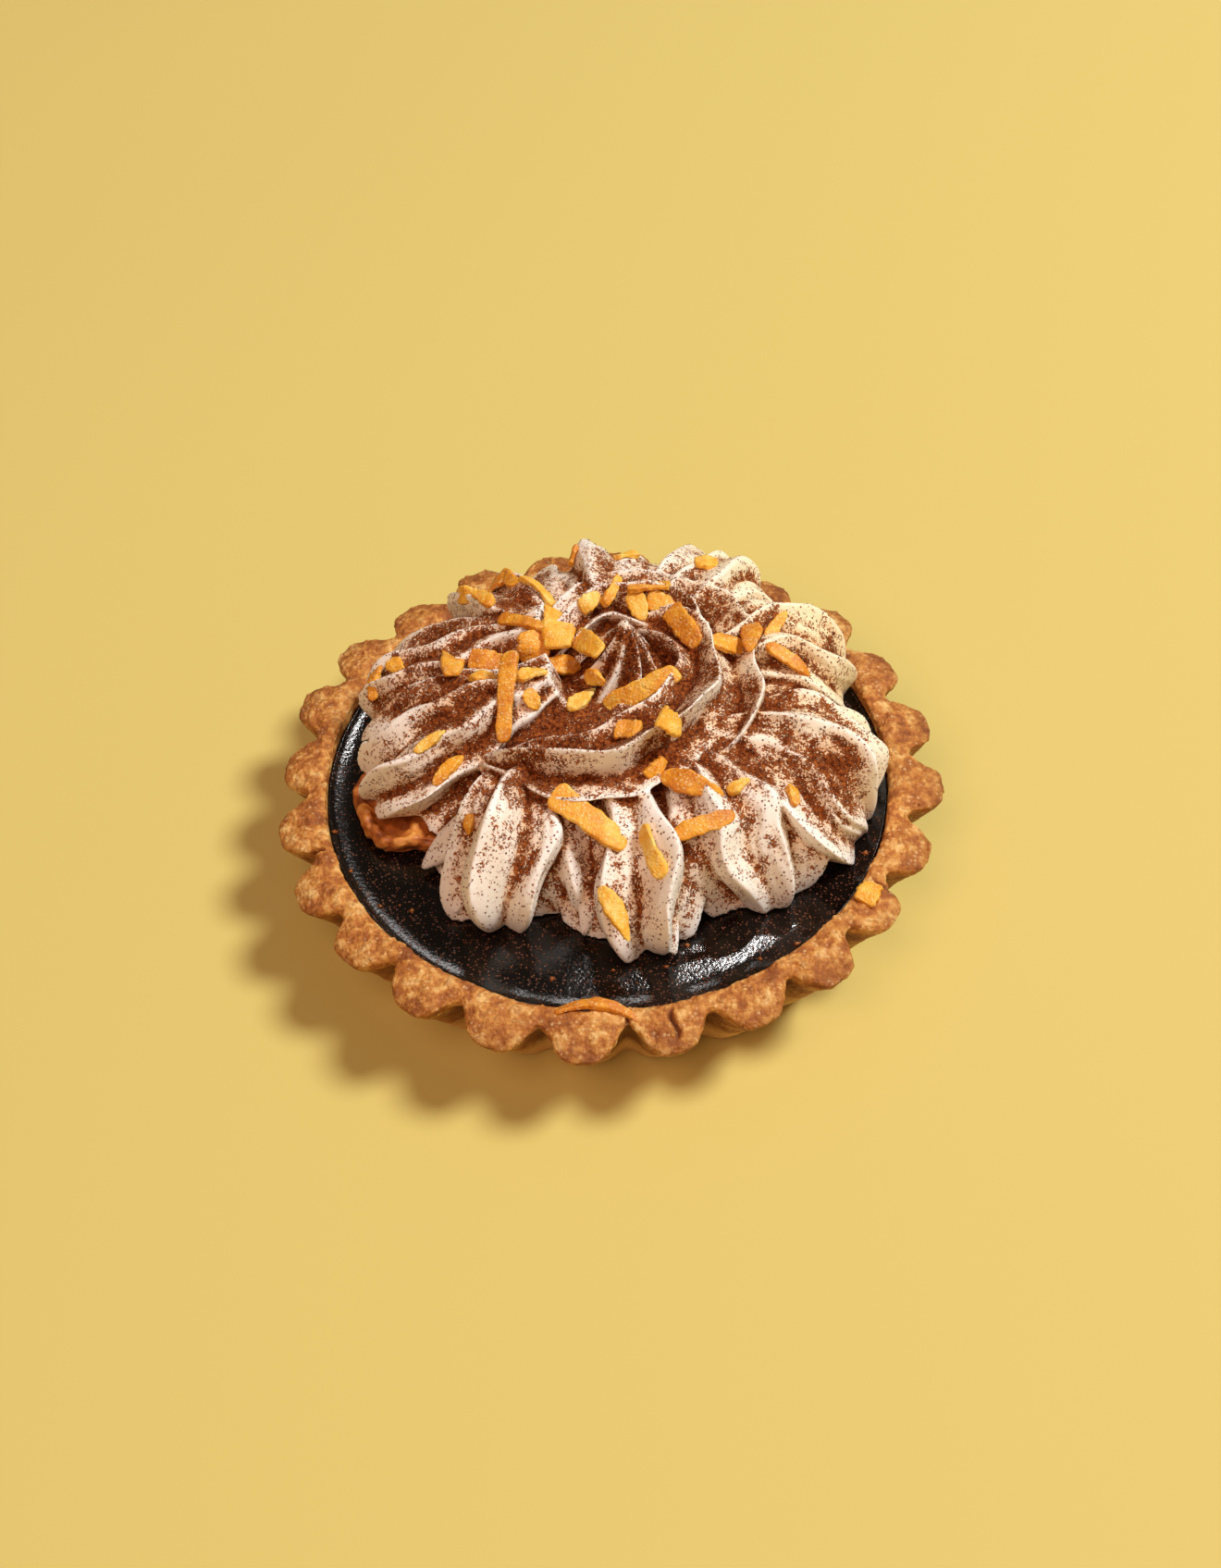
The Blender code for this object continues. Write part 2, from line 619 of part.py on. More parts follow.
def main():
    clear_scene()
    pastry = material("pastry", (0.52, 0.27, 0.10), 0.75)
    ganache = material("ganache", (0.02, 0.014, 0.012), 0.3)
    cream = material("cream", (0.86, 0.78, 0.68), 0.6)
    fruit = material("dried_fruit", (0.55, 0.20, 0.03), 0.5)
    crust = make_crust(pastry)
    fuse(crust, lay_chips(crust, RIM_CHIPS))
    crust.data.materials.append(pastry)
    make_filling(ganache)
    make_cream(cream)
    make_slice(fruit)


main()
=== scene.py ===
"""The looks of a small fluted tart: baked pastry, dark glossy filling, piped cream dusted with
cocoa, chips of candied peel and a dried fruit slice. Lengths are in metres unless a name says so."""

import math

import bpy
import numpy as np
from mathutils import Matrix, Vector
from mathutils.bvhtree import BVHTree


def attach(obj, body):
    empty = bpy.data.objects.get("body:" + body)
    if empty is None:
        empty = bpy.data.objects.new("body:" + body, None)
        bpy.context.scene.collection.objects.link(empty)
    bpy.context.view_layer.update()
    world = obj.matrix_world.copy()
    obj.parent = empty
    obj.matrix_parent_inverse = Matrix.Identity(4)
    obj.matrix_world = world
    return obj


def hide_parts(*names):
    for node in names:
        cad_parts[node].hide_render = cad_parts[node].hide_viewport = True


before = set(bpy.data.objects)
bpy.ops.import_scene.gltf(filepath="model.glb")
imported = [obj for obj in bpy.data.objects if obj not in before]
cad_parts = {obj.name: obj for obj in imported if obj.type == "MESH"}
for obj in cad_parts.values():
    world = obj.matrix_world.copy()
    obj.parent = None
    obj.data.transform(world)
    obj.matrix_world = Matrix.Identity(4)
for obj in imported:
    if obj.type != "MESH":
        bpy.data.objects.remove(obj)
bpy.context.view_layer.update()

MM = 0.001

# The tart's own sizes, the same as its solids have
FLUTES = 24
FLUTE_PHASE = math.radians(-6.0)
FLUTE_FULLNESS = 1.8
NOTCH_ROUNDNESS = 1.2
RIM_TIP_RADIUS = 50.0 * MM
RIM_NOTCH_RADIUS = 45.5 * MM
BASE_TIP_RADIUS = 41.8 * MM
BASE_NOTCH_RADIUS = 39.8 * MM
SHELL_HEIGHT = 15.6 * MM
CAVITY_RADIUS = 42.4 * MM
FILL_LEVEL = 13.2 * MM
FILL_EDGE_RISE = 0.7 * MM
FILL_EDGE_WIDTH = 1.0 * MM
FIT_GAP = 0.3 * MM
CREAM_BASE = FILL_LEVEL + FIT_GAP

# Each shell: belly's middle (x, y, z), belly radius, tail (x, y, z), ridges, depth of the grooves
# as a share of the radius, twist in degrees, and how sharp the ridges are, from 0 for round
# fingers to 1 for thin crests
SHELLS = {
    "left_back": ((-27.5, 15.0, 18.5), 10.6, (-7.0, 17.5, 29.0), 8, 0.34, 26, 0.8),
    "left": ((-25.2, 0.0, 18.5), 12.8, (-6.0, 6.5, 29.5), 9, 0.36, 34, 0.75),
    "front_left": ((-13.5, -16.5, 18.2), 12.8, (-8.0, -4.0, 26.0), 8, 0.40, -16, 0.5),
    "front_gap": ((-4.0, -18.0, 17.5), 9.6, (-3.0, -5.0, 24.0), 6, 0.36, -24, 0.6),
    "front": ((4.6, -22.2, 17.5), 12.0, (1.5, -8.0, 25.0), 7, 0.40, 30, 0.75),
    "front_right": ((17.5, -15.0, 18.5), 13.6, (9.0, -3.0, 26.0), 9, 0.25, 28, 0.75),
    "right": ((27.0, -6.0, 18.5), 15.0, (13.0, -1.0, 26.0), 12, 0.21, 10, 0.8),
    "right_back": ((26.0, 13.5, 19.5), 13.0, (13.0, 8.0, 27.0), 11, 0.26, 24, 0.7),
    "back_right": ((16.0, 27.0, 20.0), 13.2, (8.0, 14.0, 27.0), 12, 0.24, 20, 0.6),
    "back": ((1.5, 29.2, 18.5), 12.8, (2.0, 15.0, 26.0), 10, 0.18, 22, 0.3),
    "back_left": ((-11.8, 27.6, 18.5), 11.8, (-5.0, 15.0, 27.0), 9, 0.30, -12, 0.7),
}
RIDGE_UNEVENNESS = 0.09

# How far the piped cream is out of true, and over what length
SAG = 0.75 * MM
SAG_LENGTH = 3.4 * MM

# The two piped ropes on top: the points of their middle lines, and their radius there
CURL_LINE = [
    ((-17.0, -5.0, 24.5), 1.6), ((-12.0, -7.0, 24.5), 6.0),
    ((-3.0, -9.0, 24.5), 9.2), ((5.0, -7.0, 24.5), 9.8),
    ((10.5, -1.0, 25.5), 9.2), ((13.0, 6.0, 26.0), 8.2),
    ((11.0, 12.5, 26.5), 7.0), ((5.0, 15.0, 27.0), 4.0),
]
LOOP_LINE = [
    ((14.0, -12.0, 21.0), 4.0), ((18.0, -4.0, 22.5), 8.0),
    ((19.5, 4.0, 23.5), 9.0), ((17.5, 12.5, 24.0), 9.4),
    ((11.5, 18.5, 24.5), 9.4), ((3.0, 20.0, 25.0), 8.6),
    ((-4.0, 16.5, 25.5), 7.0), ((-7.0, 11.0, 25.5), 4.0),
]
ROPE_RIDGES = 8
ROPE_GROOVE = 0.46
CURL_TWIST = 40.0
LOOP_TWIST = 80.0
PEAK_BASE = np.array([2.5, 8.0, 21.0]) * MM
PEAK_LEAN = np.array([1.2, 2.6, 16.0]) * MM
PEAK_RADIUS = 10.5 * MM
PEAK_RIDGES = 7
PEAK_TWIST = 70.0
CORE_CENTRE = np.array([1.0, 6.0, 12.0]) * MM
CORE_RADIUS = 32.0 * MM
CORE_HEIGHT = 15.5 * MM
CORE_RIDGES = 30
CORE_GROOVE = 0.07
CREAM_FOOT_RADIUS = 40.7 * MM
CREAM_OVERHANG_RADIUS = 45.5 * MM

# Torn points of cream: root (x, y, z), tip (x, y, z), width at the root
SPIKES = [
    ((-20.0, -12.5, 18.5), (-27.6, -16.0, 14.6), 5.5),
    ((-19.0, -16.0, 19.0), (-22.6, -25.0, 15.4), 5.0),
    ((-2.5, -22.5, 19.0), (-4.4, -29.4, 14.2), 3.2),
    ((7.0, -27.0, 17.0), (8.4, -33.6, 14.4), 3.4),
    ((24.5, -18.0, 17.5), (26.4, -21.4, 14.8), 3.6),
]

# The fruit slice that is tucked under the cream
SLICE_CENTRE = np.array([-28.2, -3.0, 15.0]) * MM
SLICE_RADIUS = 9.8 * MM
SLICE_THICKNESS = 3.0 * MM

# Chips of peel: thickness, how deep they lie in the cream, and how far their middle bows up as a
# share of their length, or aside in an arc
PEEL_THICKNESS = 1.1 * MM
PEEL_SINK = 0.35 * MM
PEEL_BOW = 0.07
PEEL_BEND = 0.14

# Each kind of chip: how square its ends are, and how much narrower it is at its far end
CHIP_FORMS = {
    "strip": (12.0, 0.12),
    "arc": (12.0, 0.1),
    "block": (18.0, 0.05),
    "oval": (3.0, 0.0),
    "petal": (1.8, 0.25),
}

# Chips on the cream: kind, place (x, y), length, width, heading in degrees, and how far the far
# end is lifted, in degrees
CHIPS = [
    ("oval", -15.0, 33.0, 5.0, 2.5, 15, 0),
    ("block", -20.0, 28.5, 3.7, 2.8, -40, 0),
    ("strip", -13.5, 32.5, 7.0, 2.3, -68, 0),
    ("strip", -9.6, 26.6, 8.0, 1.8, -52, 0),
    ("oval", -17.4, 24.9, 5.9, 2.3, -60, 0),
    ("strip", -11.5, 17.3, 8.6, 2.1, -33, 0),
    ("block", -6.4, 15.7, 8.2, 4.8, -94, 8),
    ("strip", -10.0, 13.5, 5.8, 4.8, -88, 0),
    ("strip", -1.3, 19.8, 3.9, 2.5, 36, 0),
    ("strip", 1.8, 21.4, 6.3, 1.5, 72, 12),
    ("petal", -3.0, 34.0, 3.7, 1.6, 60, 0),
    ("strip", 4.9, 35.0, 4.5, 1.6, 30, 0),
    ("strip", -22.5, 11.9, 8.9, 3.4, -93, 20),
    ("block", -17.4, 13.1, 5.0, 3.2, -6, 0),
    ("petal", -17.7, 7.5, 4.5, 2.5, -10, 0),
    ("strip", -13.8, 2.8, 14.0, 2.5, -97, 0),
    ("petal", -10.2, 5.6, 4.8, 2.3, 8, 0),
    ("petal", -10.4, 2.3, 3.5, 2.5, -54, 0),
    ("oval", -6.5, 10.5, 6.9, 3.2, 8, 0),
    ("strip", -1.5, 11.5, 9.3, 3.4, -58, 10),
    ("petal", -0.6, 6.8, 3.9, 2.3, -40, 0),
    ("petal", -3.1, 4.1, 5.6, 2.5, 46, 0),
    ("strip", 6.0, 3.8, 12.3, 3.2, 10, 0),
    ("block", 3.5, -5.9, 3.7, 3.2, -20, 0),
    ("petal", -25.3, -3.3, 5.6, 1.6, 33, 0),
    ("oval", -22.8, -6.1, 6.2, 2.1, 47, 0),
    ("strip", -34.0, 13.0, 6.9, 1.7, -95, 0),
    ("petal", -31.0, 16.8, 3.7, 2.5, -51, 0),
    ("strip", 7.8, 21.2, 6.7, 2.8, 0, 0),
    ("petal", 6.1, 19.2, 5.4, 3.1, -70, 0),
    ("block", 9.5, 19.3, 5.0, 3.4, -30, 0),
    ("strip", 12.9, 13.7, 8.3, 3.4, -63, 0),
    ("block", 16.9, 29.0, 3.9, 2.8, 10, 0),
    ("oval", 18.4, 9.8, 6.7, 3.2, 14, 0),
    ("petal", 22.5, 10.9, 8.2, 3.1, -97, 15),
    ("petal", 26.3, 14.6, 5.9, 2.0, 56, 20),
    ("petal", 27.5, 9.0, 8.2, 2.4, -24, 0),
    ("block", 8.8, -8.0, 4.8, 3.2, 10, 0),
    ("block", 7.0, -11.2, 3.9, 3.1, 45, 0),
    ("petal", 12.1, -14.3, 9.7, 3.4, -27, 0),
    ("petal", 18.7, -15.3, 3.7, 1.8, 30, 0),
    ("oval", 13.0, -21.2, 9.7, 2.6, 15, 0),
    ("strip", 6.4, -24.4, 8.1, 2.6, -71, 0),
    ("strip", -2.9, -18.8, 13.1, 3.8, -38, 0),
    ("petal", -19.5, -16.1, 3.5, 1.6, -88, 20),
    ("petal", 0.0, -31.2, 8.8, 2.8, -62, 0),
    ("oval", 25.8, -15.7, 4.0, 1.6, -85, 10),
]

# Chips that lie on the pastry's edge
RIM_CHIPS = [
    ("arc", -3.0, -43.9, 12.0, 1.7, -9, 0),
    ("block", 36.6, -25.4, 3.9, 3.3, 60, 0),
]

# Cracks in the pastry's edge: direction in degrees, and from which radius to which in mm
CRACKS = [
    (-80.6, 43.2, 48.6), (-88.2, 43.0, 46.2),
    (-31.0, 43.5, 47.5), (196.0, 43.5, 47.0),
    (118.0, 44.0, 48.0),
]
CRACK_DEPTH = 1.1 * MM
CRACK_HALF_WIDTH = 0.45 * MM
CRACK_WANDER = 0.25 * MM

# Waves on the filling: height and length in mm, layers of noise, and seed
FILLING_WAVES = [(0.06, 9.0, 1, 5), (0.03, 4.0, 1, 9), (0.01, 1.2, 2, 11)]

# Where the cocoa fell: place (x, y), reach and how thickly
DUSTINGS = [
    ((-26.0, 18.0), 13.0, 1.2), ((-22.0, 4.0), 10.0, 0.9),
    ((-9.0, 27.0), 11.0, 0.7), ((-8.0, -6.0), 9.0, 1.1),
    ((4.0, -8.0), 9.0, 1.3), ((12.0, 2.0), 7.0, 0.8),
    ((3.0, 11.0), 9.0, 1.8), ((15.0, 16.0), 7.0, 0.8),
    ((9.0, 25.0), 5.0, 0.6), ((19.0, -12.0), 4.0, 1.0),
    ((9.0, -5.5), 3.5, 1.0), ((32.0, -12.5), 5.0, 1.6),
    ((31.0, -2.0), 6.0, 0.7), ((26.0, 4.0), 6.0, 0.4),
    ((-13.0, -18.0), 5.0, 0.4),
]

# Loose grains: how many, and their smallest and largest radius in mm
COCOA_GRAINS = 6000
COCOA_GRAIN_SIZES = (0.07, 0.16)
FILLING_GRAINS = 1600
FILLING_GRAIN_SIZES = (0.06, 0.13)
PASTRY_CRUMBS = 14
PASTRY_CRUMB_SIZES = (0.3, 0.6)

# Fineness of the visible surfaces, and over how many rounds the cream's grooves are smoothed out
# to find how deep they are
CREAM_VOXEL = 0.30 * MM
GROOVE_BLUR = 36
POINTS_PER_RIDGE = 18
STEPS_ALONG_SHELL = 70
STEPS_ALONG_SWIRL = 170
CRUST_POINTS_PER_FLUTE = 50
CRUST_STEPS = 130
FILLING_POINTS = 420
FILLING_STEPS = 120

# Higher than all of the tart: from here straight lines go down to find what is under them
HIGH_ABOVE = 60.0 * MM
DOWN = Vector((0.0, 0.0, -1.0))

# The camera of the photograph: the image's size, the place of the middle of the tart's base and
# the focal length in pixels, elevation and roll in degrees, and distance
IMAGE_SIZE = (1320, 1695)
BASE_PIXEL = (659.0, 904.8)
FOCAL_PIXELS = 2208.0
CAMERA_ELEVATION = 51.0
CAMERA_ROLL = -2.8
CAMERA_DISTANCE = 0.320
SENSOR_WIDTH = 36.0

# Each soft light: azimuth and elevation in degrees, distance, size, power, colour, and whether it
# gives gloss alone
LIGHTS = {
    "key": (82.0, 54.0, 1.8, 0.52, 29.5, (0.97, 1.0, 1.0), False),
    "gloss": (10.5, 56.2, 1.0, 0.05, 1.1, (1.0, 0.98, 0.96), True),
    "side_gloss": (17.0, 53.0, 1.0, 0.05, 0.35, (1.0, 0.98, 0.96), True),
    "sheen": (2.5, 40.5, 1.5, 0.2, 0.85, (1.0, 0.98, 0.96), True),
    "fill": (212.0, 58.0, 2.4, 1.6, 24.0, (1.0, 0.66, 0.52), False),
}
LIGHTS_AIM = (0.0, 0.0, 0.015)
AMBIENT_COLOUR = (1.0, 0.76, 0.52, 1.0)
AMBIENT_STRENGTH = 0.12
FLOOR_COLOUR = (219, 198, 112)
FLOOR_HALF_WIDTH = 2.0


def unit(values):
    """The values, held between 0 and 1."""
    return np.clip(values, 0.0, 1.0)


def lattice_noise(points, cell, seed):
    """Smooth noise from -1 to 1 at each point, with features of the size of a cell."""
    scaled = np.asarray(points) / cell
    low = np.floor(scaled).astype(np.int64)
    part = scaled - low
    part = part * part * (3.0 - 2.0 * part)
    total = np.zeros(len(scaled))
    for corner in range(8):
        step = np.array([corner & 1, corner >> 1 & 1, corner >> 2 & 1])
        x, y, z = (low + step).T
        mixed = x * 73856093 ^ y * 19349663 ^ z * 83492791 ^ (seed + 1) * 2654435761
        mixed = (mixed ^ mixed >> 13) * 1274126177 & 0xFFFFFFFF
        value = (mixed ^ mixed >> 16) % 65536 / 32767.5 - 1.0
        weight = np.prod(np.where(step == 1, part, 1.0 - part), axis=1)
        total += weight * value
    return total


def layered_noise(points, cell, layers, seed):
    """Noise summed over layers, each half the size and half the strength of the one before."""
    total = np.zeros(len(points))
    for layer in range(layers):
        total += 0.5**layer * lattice_noise(points, cell * 0.5**layer, seed + layer)
    return total


def smooth_line(points, steps):
    """Evenly stepped points on a Catmull-Rom curve through the given points."""
    points = [np.array(p, float) for p in points]
    ends = [2 * points[0] - points[1], *points, 2 * points[-1] - points[-2]]
    spans = len(points) - 1
    line = []
    for i in range(steps + 1):
        at = min(i * spans / steps, spans - 1e-9)
        k, t = int(at), at - int(at)
        a, b, c, d = ends[k : k + 4]
        place = 2 * b + (c - a) * t + (2 * a - 5 * b + 4 * c - d) * t**2
        line.append(0.5 * (place + (3 * b - a - 3 * c + d) * t**3))
    return np.array(line)


def full_turn(count):
    """Evenly spaced angles, once round."""
    return np.linspace(0.0, 2.0 * math.pi, count, endpoint=False)


def level_ring(reach, turn, height):
    """Points round the Z axis at the given angles, all at one height."""
    return np.stack([reach * np.cos(turn), reach * np.sin(turn), np.full(len(turn), height)], 1)


def grid_faces(rows, columns):
    """Quads over a grid of points that wraps round in its columns."""
    i, j = np.meshgrid(np.arange(rows - 1), np.arange(columns), indexing="ij")
    here, beside = i * columns + j, i * columns + (j + 1) % columns
    return np.stack([here, beside, beside + columns, here + columns], -1).reshape(-1, 4).tolist()


def ring_body(name, rings):
    """A closed object through rings of points, with a fan to a pole at each end."""
    rings = np.asarray(rings)
    rows, columns = rings.shape[:2]
    points = np.concatenate([rings.reshape(-1, 3), rings[0].mean(0)[None], rings[-1].mean(0)[None]])
    faces = grid_faces(rows, columns)
    first, last = rows * columns, rows * columns + 1
    for j in range(columns):
        k = (j + 1) % columns
        faces.append([k, j, first])
        faces.append([(rows - 1) * columns + j, (rows - 1) * columns + k, last])
    return new_object(name, points, faces)


def new_object(name, points, faces):
    mesh = bpy.data.meshes.new(name)
    mesh.from_pydata(np.asarray(points).tolist(), [], faces)
    obj = bpy.data.objects.new(name, mesh)
    bpy.context.scene.collection.objects.link(obj)
    return obj


def points_and_normals(mesh):
    points, normals = np.empty(len(mesh.vertices) * 3), np.empty(len(mesh.vertices) * 3)
    mesh.vertices.foreach_get("co", points)
    mesh.vertex_normals.foreach_get("vector", normals)
    return points.reshape(-1, 3), normals.reshape(-1, 3)


def set_vertices(mesh, points):
    mesh.vertices.foreach_set("co", np.asarray(points, np.float32).ravel())
    mesh.update()


def point_attribute(mesh, name, values):
    made = mesh.attributes.new(name, "FLOAT", "POINT")
    made.data.foreach_set("value", np.asarray(values, np.float32))


def settle(obj):
    """Applies the object's modifiers to its mesh."""
    graph = bpy.context.evaluated_depsgraph_get()
    made = bpy.data.meshes.new_from_object(obj.evaluated_get(graph))
    obj.modifiers.clear()
    obj.data = made


def finish_piece(obj, material, node):
    obj.data.materials.clear()
    obj.data.materials.append(material)
    obj.data.shade_smooth()
    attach(obj, "root")
    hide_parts(node)


# The piped cream


def sagged(rings, seed):
    """The rings with every point moved a little, so that no two ridges run alike."""
    points = np.asarray(rings)
    x, y, z = np.moveaxis(points, -1, 0) / SAG_LENGTH
    shift = np.stack([
        np.sin(0.9 * y + 0.7 * z + seed) + 0.6 * np.sin(1.7 * y - 1.3 * x + 2.0 * seed),
        np.sin(0.8 * x - 0.9 * z + 1.3 * seed) + 0.6 * np.sin(1.9 * x + 1.1 * y + seed),
        0.7 * np.sin(0.7 * x + 0.8 * y + 1.7 * seed),
    ], -1)
    return points + SAG * shift


def groove_share(turn, ridges, sharp):
    """0 on a ridge's crest and 1 in the groove between two ridges."""
    phase = 0.5 * ridges * turn
    return sharp * np.abs(np.sin(phase)) + (1.0 - sharp) * (1.0 - np.abs(np.cos(phase)))


def star(turn, ridges, depth, sharp, seed):
    """A star nozzle's outline with uneven ridges, as a share of its radius."""
    groove = groove_share(turn, ridges, sharp)
    ridge = np.round(turn * ridges / (2.0 * math.pi)) % ridges
    gain = RIDGE_UNEVENNESS * np.sin(2.4 * ridge + seed)
    return 1.0 - depth * groove + gain * (1.0 - groove)


def rope_rings(line, radii, ridges, depths, twist, sharp, seed):
    """Star-shaped rings round a middle line. A ridge starts on top, and all turn by twist."""
    around = ridges * POINTS_PER_RIDGE
    turn = full_turn(around)
    rings = []
    for i, (middle, radius, depth) in enumerate(zip(line, radii, depths)):
        along = line[min(i + 1, len(line) - 1)] - line[max(i - 1, 0)]
        along = along / np.linalg.norm(along)
        side = np.cross(along, (0.0, 0.0, 1.0))
        side = side / np.linalg.norm(side)
        up = np.cross(side, along)
        share = i / (len(line) - 1)
        uneven = 0.04 * np.sin(2.0 * turn + seed) + 0.03 * np.sin(3.0 * turn + 2 * seed)
        around_at = np.stack([np.cos(turn), np.sin(turn), np.full(around, share)], 1)
        streaks = 0.032 * lattice_noise(around_at * (11.0, 11.0, 2.5), 0.35, seed)
        waves = 0.035 * lattice_noise(around_at * (2.0, 2.0, 5.0), 0.8, seed + 1)
        reach = radius * (star(turn, ridges, depth, sharp, seed) + uneven + streaks + waves)
        at = turn + math.radians(twist) * share
        ring = middle + reach[:, None] * (np.cos(at)[:, None] * up + np.sin(at)[:, None] * side)
        rings.append(ring)
    return rings


def shell_swell(share):
    """The radius along a piped shell, as a share of its belly's: round at the heel, thin at the tail."""
    belly = 0.34
    if share < belly:
        return math.sqrt(max(0.0, 1.0 - (1.0 - share / belly) ** 2))
    fall = (share - belly) / (1.0 - belly)
    return 0.32 + 0.68 * (0.5 + 0.5 * math.cos(math.pi * fall)) ** 0.85


def make_shell(name, seed, belly, radius, tail, ridges, groove, twist, sharp):
    """A piped shell: its ridges run from under its heel, over its belly, to its tail."""
    belly, tail = np.array(belly) * MM, np.array(tail) * MM
    radius *= MM
    inward = tail[:2] - belly[:2]
    inward = inward / np.linalg.norm(inward)
    heel = belly - np.array([*(inward * 0.66 * radius), 0.7 * radius])
    crown = belly + np.array([*(inward * 0.2 * radius), 0.1 * radius])
    line = smooth_line([heel, crown, tail], STEPS_ALONG_SHELL)[1:]
    shares = [(i + 1) / STEPS_ALONG_SHELL for i in range(STEPS_ALONG_SHELL)]
    radii = [radius * shell_swell(share) for share in shares]
    depths = [groove * (1.15 - 0.5 * share) for share in shares]
    rings = rope_rings(line, radii, ridges, depths, twist, sharp, seed)
    return ring_body("shell_" + name, sagged(rings, seed))


def make_rope(name, route, twist, seed):
    """A piped rope along a route, with the sharp ridges of a star nozzle."""
    line = smooth_line([np.array(p) * MM for p, _ in route], STEPS_ALONG_SWIRL)
    radii = smooth_line([[r * MM] for _, r in route], STEPS_ALONG_SWIRL)[:, 0]
    rings = rope_rings(line, radii, ROPE_RIDGES, [ROPE_GROOVE] * len(radii), twist, 1.0, seed)
    return ring_body(name, sagged(rings, seed))


def make_peak():
    """The tip that the nozzle leaves when it is pulled away: a leaning cone of curved ridges."""
    steps = 60
    turn = full_turn(PEAK_RIDGES * POINTS_PER_RIDGE)
    rings = []
    for i in range(steps):
        share = i / (steps - 1)
        middle = PEAK_BASE + PEAK_LEAN * np.array([share, share**1.6, share])
        radius = PEAK_RADIUS * (1.0 - share) ** 0.85 + 0.3 * MM
        at = turn + math.radians(PEAK_TWIST) * share
        reach = radius * star(turn, PEAK_RIDGES, ROPE_GROOVE, 0.8, 3)
        rings.append(middle + level_ring(reach, at, 0.0))
    return ring_body("peak", rings)


def make_core():
    """The solid middle of the mound, under the shells and the ropes, with a frilled edge."""
    levels = 24
    turn = full_turn(12 * CORE_RIDGES)
    frill = star(turn, CORE_RIDGES, CORE_GROOVE, 0.3, 5)
    rings = []
    for i in range(levels):
        tilt = 0.5 * math.pi * i / levels
        ring = level_ring(CORE_RADIUS * math.cos(tilt) * frill, turn, CORE_HEIGHT * math.sin(tilt))
        rings.append(CORE_CENTRE + ring)
    return ring_body("core", rings)


def make_spike(root, tip, width):
    """A torn point of cream that droops to its tip."""
    steps = 24
    root, tip = np.array(root) * MM, np.array(tip) * MM
    along = (tip - root) / np.linalg.norm(tip - root)
    side = np.cross(along, (0.0, 0.0, 1.0))
    side = side / np.linalg.norm(side)
    up = np.cross(side, along)
    turn = full_turn(24)
    rings = []
    for i in range(steps):
        share = i / (steps - 1)
        radius = 0.5 * width * MM * (1.0 - share) ** 0.7 + 0.15 * MM
        middle = root + (tip - root) * share + up * 0.12 * width * MM * math.sin(math.pi * share)
        reach = radius * (1.0 + 0.25 * np.cos(2.0 * turn))
        ring = reach[:, None] * (np.cos(turn)[:, None] * side + np.sin(turn)[:, None] * up)
        rings.append(middle + ring)
    return ring_body("spike", rings)


def make_trimmer():
    """What the cream may fill: from just above the filling upwards, clear of the rim."""
    profile = [
        (CREAM_FOOT_RADIUS, CREAM_BASE),
        (CREAM_FOOT_RADIUS, SHELL_HEIGHT + 0.8 * MM),
        (CREAM_OVERHANG_RADIUS, SHELL_HEIGHT + 3.5 * MM),
        (CREAM_OVERHANG_RADIUS, HIGH_ABOVE),
    ]
    return ring_body("trimmer", [level_ring(reach, full_turn(96), height) for reach, height in profile])


def boolean(obj, operation, others):
    """Joins the object with the others, cuts it to them or cuts them away, and removes them."""
    pieces = bpy.data.collections.new("pieces")
    bpy.context.scene.collection.children.link(pieces)
    for other in others:
        bpy.context.scene.collection.objects.unlink(other)
        pieces.objects.link(other)
    cut = obj.modifiers.new(operation.lower(), "BOOLEAN")
    cut.operation, cut.solver = operation, "MANIFOLD"
    cut.operand_type, cut.collection = "COLLECTION", pieces
    settle(obj)
    for other in others:
        bpy.data.objects.remove(other, do_unlink=True)
    bpy.data.collections.remove(pieces)


def make_pocket():
    """The space that the cream leaves round the slice."""
    half = 0.5 * SLICE_THICKNESS
    turn = full_turn(64)
    reach = (SLICE_RADIUS + FIT_GAP) * slice_wave(turn)
    heights = (-half - 2.0 * MM, half + FIT_GAP)
    return ring_body("pocket", [SLICE_CENTRE + level_ring(reach, turn, height) for height in heights])


def make_cream():
    """The whole mound of piped cream as one body, its edges a little rounded."""
    cream = make_core()
    shells = [make_shell(name, 10 * i, *spec) for i, (name, spec) in enumerate(SHELLS.items())]
    ropes = [make_rope("curl", CURL_LINE, CURL_TWIST, 1), make_rope("loop", LOOP_LINE, LOOP_TWIST, 2)]
    boolean(cream, "UNION", [*shells, *ropes, make_peak(), *[make_spike(*spec) for spec in SPIKES]])
    boolean(cream, "INTERSECT", [make_trimmer()])
    boolean(cream, "DIFFERENCE", [make_pocket()])
    remesh = cream.modifiers.new("remesh", "REMESH")
    remesh.mode, remesh.voxel_size = "VOXEL", CREAM_VOXEL
    settle(cream)
    cream.name = "piped_cream"
    return cream


# Peel and fruit


def slice_wave(turn):
    """The wavy round edge of a dried slice, as a share of its radius."""
    return 1.0 + 0.035 * np.sin(5.0 * turn) + 0.02 * np.sin(9.0 * turn + 1.0)


